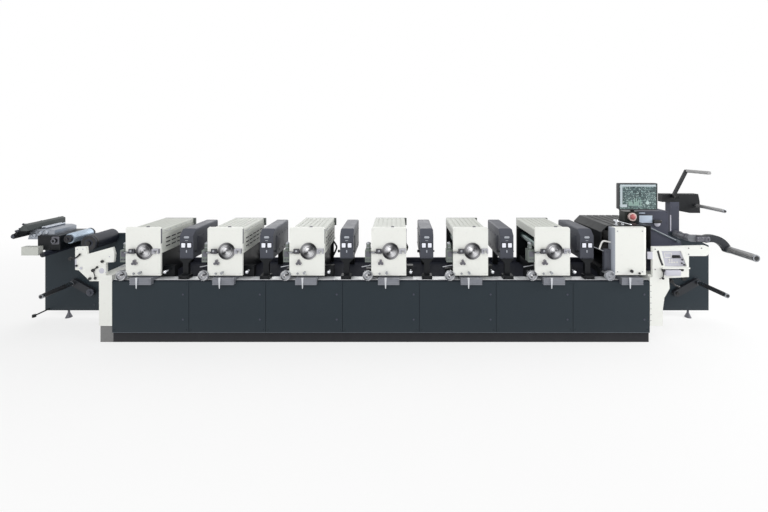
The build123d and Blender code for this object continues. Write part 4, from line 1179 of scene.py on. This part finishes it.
class PRESS_OT_fit_infeed(bpy.types.Operator):
    """Knobs, levers, roller ends and mandrel details of the unwind end"""

    bl_idname = "press.fit_infeed"
    bl_label = "Infeed fittings"

    def execute(self, context):
        dots = [(-3.302, 0.843, 0.011), (-3.022, 0.890, 0.016), (-3.079, 0.826, 0.012),
                (-3.121, 0.793, 0.018), (-3.099, 0.707, 0.014), (-3.157, 0.704, 0.015)]
        parts = knobs_at(FRONT, [(x, z, r, 0.5 * r + 0.010, 6) for x, z, r in dots])
        y = FRONT - 0.010
        for bend, end in (((-3.108, y, 0.750), (-3.099, y, 0.712)),
                          ((-3.100, y, 0.810), (-3.081, y, 0.824))):
            parts.append(swept([(-3.121, y, 0.793), bend, end], 0.009, 0.006))
        parts.append(swept(smooth_path([(-3.262, y, 0.968), (-3.284, y, 0.948),
                                        (-3.312, y, 0.928), (-3.350, y, 0.921)], 4), 0.016,
                           0.008, square=3.0))
        parts.append(knob((-3.366, y + 0.016, 0.920), 0.019, 0.026, flutes=8))
        parts.append(screw((-3.262, y - 0.002, 0.968), 0.010))
        add_piece("infeed_knobs", parts, "knob")
        pale = [turned([(-0.001, 0.0), (-0.001, 0.030), (0.003, 0.028), (0.005, 0.014),
                        (0.005, 0.0)], (-3.036, FRONT, 0.785)),
                knob((-3.257, FRONT, 0.815), 0.014, 0.012),
                pad((-3.316, FRONT, 0.880), 0.014, 0.120, 0.004, 0.003)]
        pale += [screw((x, FRONT, z), 0.006) for x, z in
                 ((-3.30, 1.02), (-3.24, 1.02), (-2.95, 0.94), (-2.95, 0.88), (-2.99, 0.77))]
        add_piece("infeed_plate_fittings", pale, "grey")
        sleeve = turned([(0.0, 0.0), (0.0, 0.044), (0.002, 0.057), (0.010, 0.059),
                         (0.280, 0.059), (0.288, 0.057), (0.290, 0.044), (0.290, 0.0)],
                        (-3.632, FRONT + 0.275, 1.065), REARWARD, 40)
        add_piece("feed_sleeve", [sleeve], "sleeve")
        self.add_roller_ends()
        self.add_table_details()
        self.add_block_details()
        add_mandrel_details("unwind_mandrel")
        self.add_plate_bolts()
        return {"FINISHED"}

    def add_roller_ends(self):
        """A turned end, with a bearing recess, on each infeed roller."""
        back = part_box("infeed_rollers")[1].y
        places = [(-3.816, FRONT + 0.140, 0.915, 0.028), (-3.632, FRONT + 0.250, 1.065, 0.045),
                  (-3.380, FRONT + 0.240, 1.020, 0.088)]
        ends = [turned([(-0.002, 0.0), (-0.002, 0.96 * r), (0.002, 0.92 * r), (0.002, 0.6 * r),
                        (-0.001, 0.55 * r), (-0.001, 0.34 * r), (0.012, 0.30 * r),
                        (0.014, 0.24 * r), (0.014, 0.0)], (x, y, z), steps=32)
                for x, y, z, r in places]
        collars = [turned_ring([(0.0, 1.002 * r), (0.004, 1.03 * r), (0.016, 1.03 * r),
                                (0.020, 1.002 * r)], (x, y + 0.020, z), REARWARD)
                   for x, y, z, r in places[1:]]
        bolts = [screw((x, back + 0.025, z), 0.014, REARWARD) for x, y, z, r in places]
        add_piece("roller_ends", ends + collars + bolts, "knob")

    def add_table_details(self):
        """Edge bars, a cross rod, clamp knobs and knob caps along the sloping splice table."""
        low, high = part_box("splice_table")
        tilt = np.array([0.150, 0.0, 0.142])
        start = np.array([-4.170, 0.0, 1.126])
        normal = (-tilt[2], 0.0, tilt[0])
        bars = [swept([start + 0.08 * tilt + (0.0, y, 0.002), start + 0.92 * tilt
                       + (0.0, y, 0.002)], 0.012, 0.008, normal, 4.0)
                for y in (low.y + 0.03, 0.0, high.y - 0.04)]
        long_bar = rod(start + 0.5 * tilt + (-0.006, low.y + 0.02, 0.010),
                       start + 0.5 * tilt + (-0.006, high.y - 0.02, 0.010), 0.006)
        knobs = knobs_at(low.y, [(-4.141, 1.123, 0.020, 0.014), (-4.080, 1.190, 0.012, 0.020, 8)])
        caps = [knob(start + share * tilt + (-0.002, low.y + 0.030, 0.006), 0.011, 0.020,
                     normal, 6) for share in (0.25, 0.8)]
        add_piece("splice_table_fittings", bars + [long_bar] + knobs + caps, "dryer")

    def add_block_details(self):
        """Guide blocks with round bores and clamp rods on the silver block, and the web
        guide's boss, cover plate and side lever."""
        low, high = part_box("guide_block")
        box_low, box_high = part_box("guide_box")
        y = low.y
        parts = [turned([(-0.001, 0.0), (-0.001, 0.026), (0.006, 0.026), (0.008, 0.023),
                         (0.008, 0.014), (0.002, 0.012), (0.002, 0.0)], (x, y, z), steps=28)
                 for x, z in ((-4.030, 1.105), (-3.960, 1.130), (-3.890, 1.140))]
        parts += [screw((x, y, z), 0.007) for x, z in ((-4.055, 1.075), (-4.000, 1.150),
                                                      (-3.925, 1.160), (-3.850, 1.165))]
        rods = [rod((x, y + 0.02, 1.192), (x, high.y - 0.02, 1.192), 0.011)
                for x in (-3.960, -3.915)]
        add_piece("guide_block_fittings", parts + rods, "alloy")
        boss_x = box_high.x - 0.054
        boss_z = box_low.z + 0.110
        boss_y = box_low.y
        ring = turned_ring([(-0.002, 0.016), (0.004, 0.017), (0.006, 0.020), (0.006, 0.024),
                            (0.002, 0.0268), (-0.002, 0.0268)], (boss_x, boss_y, boss_z))
        plate = pad((boss_x, boss_y + 0.030, boss_z), 0.086, 0.090, 0.004, 0.012)
        arm = rod((box_low.x + 0.010, boss_y + 0.020, box_low.z + 0.035),
                  (box_low.x - 0.120, boss_y + 0.020, box_low.z + 0.010), 0.008)
        add_piece("guide_box_fittings", [ring, plate], "clamp_grey")
        tip = ball((box_low.x - 0.122, boss_y + 0.020, box_low.z + 0.010), 0.014, 16)
        screws = screws_at((box_low.x + 0.02, box_low.x + 0.14), boss_y + 0.030,
                           (box_low.z + 0.02, box_high.z - 0.02), 0.006)
        add_piece("guide_box_lever", [arm, tip] + screws, "knob")

    def add_plate_bolts(self):
        """Bolts of the unwind plate and a hub on the unwind arm."""
        low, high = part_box("unwind_plate")
        bolts = screws_at((-3.60, -3.35, -3.12), low.y, (0.16, 0.60), 0.009)
        bolts += screws_at((-3.95, -3.60, -3.25, -2.97), high.y, END_BOLT_ROWS, 0.009, REARWARD)
        hub = turned([(-0.001, 0.0), (-0.001, 0.046), (0.006, 0.046), (0.010, 0.040),
                      (0.010, 0.020), (0.020, 0.018), (0.020, 0.0)],
                     (-3.620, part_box("mandrel_arms")[0].y, 0.330), steps=32)
        add_piece("unwind_bolts", bolts + [hub], "dryer")


def add_mandrel_details(node, leaves=3):
    """Clamping leaves let into a mandrel, its end face and the collar at its root, and a flat dark
    disc in the end face, painted shade that stands for the bore. The leaves are long low pads
    spaced evenly round the bar."""
    low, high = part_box(node)
    centre = middle(node)
    radius = (high.x - low.x) / 2
    root = low.y + MANDREL_LENGTHS[node]
    length = root - low.y
    angles = np.arange(leaves) * 2 * math.pi / leaves + math.pi / 2
    parts = []
    for angle in angles:
        way = np.array([math.cos(angle), 0.0, math.sin(angle)])
        path = np.array([(0.0, low.y + 0.10 * length, 0.0), (0.0, root - 0.12 * length, 0.0)])
        path = path + (centre[0], 0.0, centre[2]) + way * (radius - 0.0015)
        parts.append(swept(path, 0.34 * radius, 0.007, way, 4.0))
    pale = node in ("rewind_mandrel", "waste_mandrel")
    add_piece(f"{node}_leaves", parts, "steel" if pale else "arm",
              body=node)
    end = (centre[0], low.y, centre[2])
    ring = turned_ring([(-0.012, radius), (-0.012, radius + 0.001), (0.0005, radius + 0.001),
                        (0.0015, 0.92 * radius), (0.0015, 0.74 * radius),
                        (-0.002, 0.70 * radius)], end, steps=36)
    collar = turned_ring([(0.0, radius - 0.001), (0.0, 1.05 * radius), (0.010, 1.08 * radius),
                          (0.020, 1.05 * radius), (0.020, radius - 0.001)],
                         (centre[0], root - 0.024, centre[2]), REARWARD, 36)
    add_piece(f"{node}_rings", [ring, collar], "steel", body=node)
    # Painted shade: a flat dark disc in the end ring stands for the shadow inside the bore.
    bore_shade = turned([(-0.001, 0.0), (-0.001, 0.69 * radius), (0.0008, 0.66 * radius),
                   (0.0008, 0.0)], end, steps=28)
    add_piece(f"{node}_bore", [bore_shade], "rubber", body=node)


class PRESS_OT_fit_rewind(bpy.types.Operator):
    """Desk, levers, arm details and mandrels of the rewind end"""

    bl_idname = "press.fit_rewind"
    bl_label = "Rewind fittings"

    def execute(self, context):
        for node in ("rewind_mandrel", "lower_mandrel", "waste_mandrel"):
            add_mandrel_details(node)
        self.add_desk()
        self.add_arm_details()
        self.add_plate_details()
        return {"FINISHED"}

    def add_desk(self):
        """Buttons, handle and small window of the sloping desk panel, a dark strip of painted
        shadow along the opening's slanted left edge, and the box under it.
        """
        face = FRONT + 0.010
        x0 = BASE_RIGHT
        grip = smooth_path([(x0 + 0.255, face, 0.936), (x0 + 0.262, face - 0.022, 0.936),
                            (x0 + 0.290, face - 0.026, 0.936), (x0 + 0.318, face - 0.022, 0.936),
                            (x0 + 0.325, face, 0.936)], 5)
        dark = [swept(grip, 0.020, 0.012, (0.0, 0.0, 1.0), 3.0),
                pad((x0 + 0.290, face, 0.936), 0.086, 0.034, 0.005, 0.008)]
        dark += knobs_at(FRONT + 0.006, [(x0 + x, z, 0.009, 0.012) for x, z in
                                         ((0.345, 0.868), (0.372, 0.850), (0.350, 0.905))])
        # Painted shadow: a dark strip along the slanted left edge of the desk opening.
        dark.append(swept([(x0 + 0.086, FRONT - 0.001, 0.998), (x0 + 0.104, FRONT - 0.001, 0.93),
                           (x0 + 0.134, FRONT - 0.001, 0.85)], 0.022, 0.006))
        add_piece("desk_handle_and_shadow_strip", dark, "knob")
        keys = [pad((x0 + x, face, z), 0.020, 0.016, 0.005, 0.003, ease=0.001)
                for x, z in ((0.215, 0.875), (0.243, 0.875), (0.271, 0.875), (0.299, 0.875),
                             (0.215, 0.900), (0.243, 0.900))]
        window = rim((x0 + 0.200, face, 0.952), 0.066, 0.040, 0.004,
                     [(0.0, -0.001), (0.0, 0.003), (0.004, 0.005), (0.008, 0.003),
                      (0.008, -0.001)])
        add_piece("desk_keys", keys + [window], "pale_plastic")
        box = pad((x0 + 0.232, FRONT, 0.772), 0.166, 0.060, 0.034, 0.008, ease=0.004)
        lid = pad((x0 + 0.232, FRONT - 0.034, 0.772), 0.146, 0.042, 0.002, 0.004)
        block = pad((x0 + 0.003, FRONT + 0.014, 0.950), 0.052, 0.078, 0.016, 0.006, ease=0.003)
        add_piece("desk_box", [box, lid, block], "grey")
        y = FRONT - 0.012
        levers = [swept([(x0 + 0.136, y, 0.792), (x0 + 0.140, y, 0.760), (x0 + 0.132, y, 0.712)],
                        0.011, 0.007),
                  swept([(x0 + 0.310, y, 0.806), (x0 + 0.345, y, 0.800)], 0.016, 0.010)]
        levers += knobs_at(FRONT, [(x0 + 0.136, 0.796, 0.018, 0.022, 8),
                                   (x0 + 0.132, 0.706, 0.012, 0.020),
                                   (x0 + 0.340, 0.800, 0.015, 0.020, 8)])
        add_piece("desk_levers", levers, "knob")

    def add_arm_details(self):
        """Clamp, collars and bolts of the rewind arm, and knobs at the rider's pivot and rod."""
        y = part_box("rewind_arm")[0].y
        clamp = (3.824, y, 1.040)
        plate = pad((3.772, y - 0.001, 1.044), 0.150, 0.058, 0.014, 0.010, ease=0.004)
        cap = turned([(-0.001, 0.0), (-0.001, 0.034), (0.016, 0.034), (0.021, 0.029),
                      (0.021, 0.012), (0.014, 0.010), (0.014, 0.0)], clamp, steps=32)
        tube = [turned_ring([(0.0, 0.037), (0.0, 0.044), (0.016, 0.044), (0.016, 0.037)],
                            (3.640, y + 0.060 + d, 1.050), REARWARD, 32) for d in (0.0, 0.110)]
        add_piece("rewind_arm_clamp", [plate, cap] + tube, "clamp_grey")
        bolts = [screw((x, y - 0.015, z), 0.007) for x, z in
                 ((3.712, 1.030), (3.712, 1.060), (3.768, 1.062))]
        back = turned([(-0.001, 0.0), (-0.001, 0.036), (0.010, 0.036), (0.014, 0.030),
                       (0.014, 0.0)], (4.080, y + 0.050, 0.920), REARWARD, 28)
        add_piece("rewind_arm_bolts", bolts + [back], "steel")
        rider_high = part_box("rider_arm")[1]
        pivot = knob((3.604, rider_high.y - 0.030, 1.512), 0.014, 0.016, flutes=8)
        root = knob((3.766, rider_high.y, 1.830), 0.012, 0.004, REARWARD)
        add_piece("rider_knobs", [pivot, root], "knob", body="rider_arm")

    def add_plate_details(self):
        """Hubs and knobs on the rewind plate and screws on the column and front plate."""
        plate_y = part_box("rewind_plate")[0].y
        arm_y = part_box("mandrel_arms")[0].y
        dark = [knob((3.700, arm_y, 0.520), 0.034, 0.040, flutes=10),
                knob((3.640, plate_y, 0.318), 0.022, 0.050, flutes=8),
                knob((3.560, plate_y, 0.470), 0.026, 0.060),
                swept([(3.560, plate_y - 0.050, 0.470), (3.600, plate_y - 0.052, 0.420),
                       (3.660, plate_y - 0.050, 0.400)], 0.022, 0.012)]
        add_piece("rewind_hubs", dark, "knob")
        front = [screw((BASE_RIGHT + x, FRONT, z), 0.006) for x, z in
                 ((0.056, 1.020), (0.056, 0.800), (0.420, 1.030), (0.560, 1.030),
                  (0.420, 0.965), (0.110, 0.700))]
        back = screws_at((3.12, 3.45, 3.78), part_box("rewind_plate")[1].y, END_BOLT_ROWS, 0.009,
                         REARWARD)
        column_low, column_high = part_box("rewind_column")
        front += screws_at((column_low.x + 0.014, column_high.x - 0.014), column_low.y,
                           (1.10, 1.24, 1.38), 0.006)
        add_piece("rewind_screws", front + back, "clamp_grey")
        ledge = pad((column_low.x + 0.007, column_low.y, 1.180), 0.012, 0.200, 0.006, 0.002)
        add_piece("column_ledge", [ledge], "grey")


class PRESS_OT_fit_screen(bpy.types.Operator):
    """Display, bezel, stop button and console window"""

    bl_idname = "press.fit_screen"
    bl_label = "Screen and console"

    def execute(self, context):
        low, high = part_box("screen")
        width = high.x - low.x
        height = high.z - low.z
        x = (low.x + high.x) / 2
        z = (low.z + high.z) / 2
        bezel = 0.012
        section = [(-bezel, -0.001), (-bezel, 0.002), (-bezel + 0.002, 0.004), (-0.003, 0.004),
                   (-0.0005, 0.002), (-0.0005, -0.001)]
        add_piece("screen_bezel", [rim((x, low.y, z), width, height, 0.0105, section)], "plastic",
                  body="screen")
        add_piece("screen_display", [pad((x, low.y, z), width - 2 * bezel, height - 2 * bezel,
                  0.0015, 0.002, ease=0.0005)], "display", body="screen")
        back_cover = pad((x, low.y + 0.045, z + 0.04), 0.24, 0.13, 0.012, 0.02, REARWARD, 0.006)
        ribs = [pad((x + dx, low.y + 0.057, z + 0.04), 0.008, 0.090, 0.003, 0.003, REARWARD)
                for dx in np.linspace(-0.09, 0.09, 9)]
        add_piece("screen_back", [back_cover] + ribs, "plastic", body="screen")
        self.add_stop_button()
        self.add_console()
        return {"FINISHED"}

    def add_stop_button(self):
        """A mushroom cap inside a pale ring."""
        centre = middle("stop_button")
        face = (centre[0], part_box("stop_button")[0].y, centre[2])
        ring = turned_ring([(-0.024, 0.031), (-0.024, 0.047), (-0.010, 0.049), (-0.001, 0.047),
                            (0.001, 0.040), (-0.002, 0.031)], face, steps=36)
        add_piece("stop_ring", [ring], "ring_pink")
        cap = turned([(-0.002, 0.0), (-0.002, 0.0295), (0.002, 0.031), (0.006, 0.029),
                      (0.010, 0.022), (0.012, 0.012), (0.0115, 0.0)], face, steps=36)
        add_piece("stop_cap", [cap], "button")

    def add_console(self):
        """The console's pale window and frame, its long key, the knob and a guide bar."""
        low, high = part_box("console")
        y = low.y
        window = (3.100, y, 1.280)
        section = [(0.0, -0.001), (0.0, 0.003), (0.004, 0.005), (0.009, 0.003),
                   (0.009, -0.001)]
        add_piece("console_frame", [rim(window, 0.156, 0.088, 0.006, section)], "plastic")
        key = pad((3.055, y, 1.352), 0.070, 0.012, 0.005, 0.004, ease=0.002)
        add_piece("console_window", [pad(window, 0.156, 0.088, 0.002, 0.006), key], "window_blue")
        base = turned([(0.0, 0.0), (0.0, 0.036), (0.008, 0.036), (0.014, 0.028),
                       (0.014, 0.0)], (3.232, y, 1.228), steps=32)
        add_piece("console_knob_base", [base], "grey")
        grip = pad((3.226, y - 0.006, 1.254), 0.100, 0.036, 0.022, 0.012, ease=0.008)
        screws = screws_at((low.x + 0.015, high.x - 0.015), y, (high.z - 0.015, 1.235), 0.005)
        add_piece("console_grip", [grip] + screws, "knob")
        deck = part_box("outfeed_deck")[0].y
        stay = rod((3.000, deck - 0.006, 1.228), (3.330, deck - 0.006, 1.070), 0.010)
        caps = [knob((3.000, deck, 1.228), 0.016, 0.020), knob((3.330, deck, 1.070), 0.018,
                                                               0.026, flutes=8)]
        add_piece("deck_stay", [stay] + caps, "trim")


# Name, place, aim, width and height, and power of each lamp
LAMPS = (("key_lamp", (-2.5, -6.0, 5.0), (0.0, 0.0, 0.8), (7.0, 3.0), 185.0),
         ("fill_lamp", (9.0, -1.6, 3.4), (0.5, 0.0, 0.9), (4.0, 3.0), 420.0),
         ("back_lamp", (-1.5, 6.0, 3.0), (0.0, 0.0, 0.7), (7.0, 3.0), 95.0),
         ("top_lamp", (0.0, 2.0, 5.5), (0.0, 0.0, 0.8), (8.0, 2.0), 40.0))


class PRESS_OT_build_stage(bpy.types.Operator):
    """Adds the pale floor, the soft lamps, the world and the camera"""

    bl_idname = "press.build_stage"
    bl_label = "Build the stage"

    def execute(self, context):
        scene = context.scene
        sizes = scene.press_stage
        build_floor()
        build_world(scene)
        for lamp in LAMPS:
            add_lamp(*lamp)
        data = bpy.data.cameras.new("camera")
        data.lens = sizes.lens
        data.sensor_width = 36.0
        data.shift_x = sizes.shift_x
        data.shift_y = sizes.shift_y
        data.clip_end = 200.0
        camera = bpy.data.objects.new("camera", data)
        camera.location = (sizes.camera_x, FRONT - sizes.camera_distance,
                           sizes.camera_height)
        camera.rotation_euler = (math.radians(90.0), 0.0, 0.0)
        scene.collection.objects.link(camera)
        scene.camera = camera
        scene.view_settings.view_transform = "Standard"
        return {"FINISHED"}


def build_floor():
    """A wide flat floor whose tone turns to plain white away from the press."""
    half = 60.0
    mesh = bpy.data.meshes.new("floor")
    corners = [(-half, -half, 0.0), (half, -half, 0.0), (half, half, 0.0), (-half, half, 0.0)]
    mesh.from_pydata(corners, [], [(0, 1, 2, 3)])
    floor = bpy.data.objects.new("floor", mesh)
    bpy.context.scene.collection.objects.link(floor)
    finish = Finish("floor_white")
    seen = seen_rays(finish.tree)
    away = (finish.x * finish.x * 0.35 + finish.y * finish.y).power(0.5)
    fade = finish.node("ShaderNodeMapRange", {"interpolation_type": "SMOOTHSTEP"},
                       {"Value": away, "From Min": 2.0, "From Max": 7.0,
                        "To Min": 0.70, "To Max": 1.0})
    matt = finish.node("ShaderNodeBsdfDiffuse", None, {"Color": (0.85, 0.85, 0.85, 1.0)})
    glow = finish.node("ShaderNodeEmission", None, {"Color": (1.0, 1.0, 1.0, 1.0)})
    mixed = finish.node("ShaderNodeMixShader", None, {0: seen * fade, 1: matt, 2: glow})
    finish.node("ShaderNodeOutputMaterial", None, {"Surface": mixed})
    mesh.materials.append(finish.material)


def seen_rays(tree):
    """1 for camera, mirror and see-through rays, 0 for the light that falls on things."""
    path = tree.nodes.new("ShaderNodeLightPath")
    rays = [Value(tree, path.outputs[name])
            for name in ("Is Camera Ray", "Is Glossy Ray", "Is Transmission Ray")]
    return rays[0].most(rays[1]).most(rays[2])


def build_world(scene):
    """A plain bright world: white to look at, softer as a light."""
    world = bpy.data.worlds.new("studio")
    world.use_nodes = True
    scene.world = world
    tree = world.node_tree
    tree.nodes.clear()
    background = tree.nodes.new("ShaderNodeBackground")
    background.inputs["Color"].default_value = (1.0, 1.0, 1.0, 1.0)
    connect(tree, background.inputs["Strength"], 0.62 + seen_rays(tree) * 0.38)
    output = tree.nodes.new("ShaderNodeOutputWorld")
    tree.links.new(background.outputs[0], output.inputs[0])


def add_lamp(name, place, aim, size, power):
    """A soft rectangular lamp that points at a place."""
    data = bpy.data.lights.new(name, "AREA")
    data.shape = "RECTANGLE"
    data.size, data.size_y = size
    data.energy = power
    lamp = bpy.data.objects.new(name, data)
    direction = np.subtract(aim, place)
    lamp.location = place
    yaw = math.atan2(direction[1], direction[0]) - math.pi / 2
    flat = math.hypot(direction[0], direction[1])
    lamp.rotation_euler = (math.atan2(flat, -direction[2]), 0.0, yaw)
    lamp.visible_camera = False
    bpy.context.scene.collection.objects.link(lamp)


class PRESS_PT_sidebar(bpy.types.Panel):
    """Lists the finishes and groups of fittings of the press"""

    bl_label = "Label press"
    bl_idname = "PRESS_PT_sidebar"
    bl_space_type = "VIEW_3D"
    bl_region_type = "UI"
    bl_category = "Label press"

    def draw(self, context):
        layout = self.layout
        for group in (context.scene.press_colours, context.scene.press_fittings,
                      context.scene.press_stage):
            for name in group.__annotations__:
                layout.prop(group, name)
        for operator in BUILD_ORDER:
            layout.operator(operator.bl_idname)


BUILD_ORDER = (PRESS_OT_paint_solids, PRESS_OT_fit_cylinders, PRESS_OT_fit_unit_plates,
               PRESS_OT_fit_unit_sides, PRESS_OT_fit_dryers, PRESS_OT_fit_base,
               PRESS_OT_fit_die_station, PRESS_OT_fit_infeed, PRESS_OT_fit_rewind,
               PRESS_OT_fit_screen, PRESS_OT_build_stage)
GROUPS = (PressColours, FittingSizes, StageSizes)


def register():
    for group in GROUPS + BUILD_ORDER + (PRESS_PT_sidebar,):
        bpy.utils.register_class(group)
    bpy.types.Scene.press_colours = PointerProperty(type=PressColours)
    bpy.types.Scene.press_fittings = PointerProperty(type=FittingSizes)
    bpy.types.Scene.press_stage = PointerProperty(type=StageSizes)


def unregister():
    del bpy.types.Scene.press_stage
    del bpy.types.Scene.press_fittings
    del bpy.types.Scene.press_colours
    for group in reversed(GROUPS + BUILD_ORDER + (PRESS_PT_sidebar,)):
        bpy.utils.unregister_class(group)


def main():
    register()
    for operator in BUILD_ORDER:
        family, action = operator.bl_idname.split(".")
        getattr(getattr(bpy.ops, family), action)()


if __name__ == "__main__":
    main()
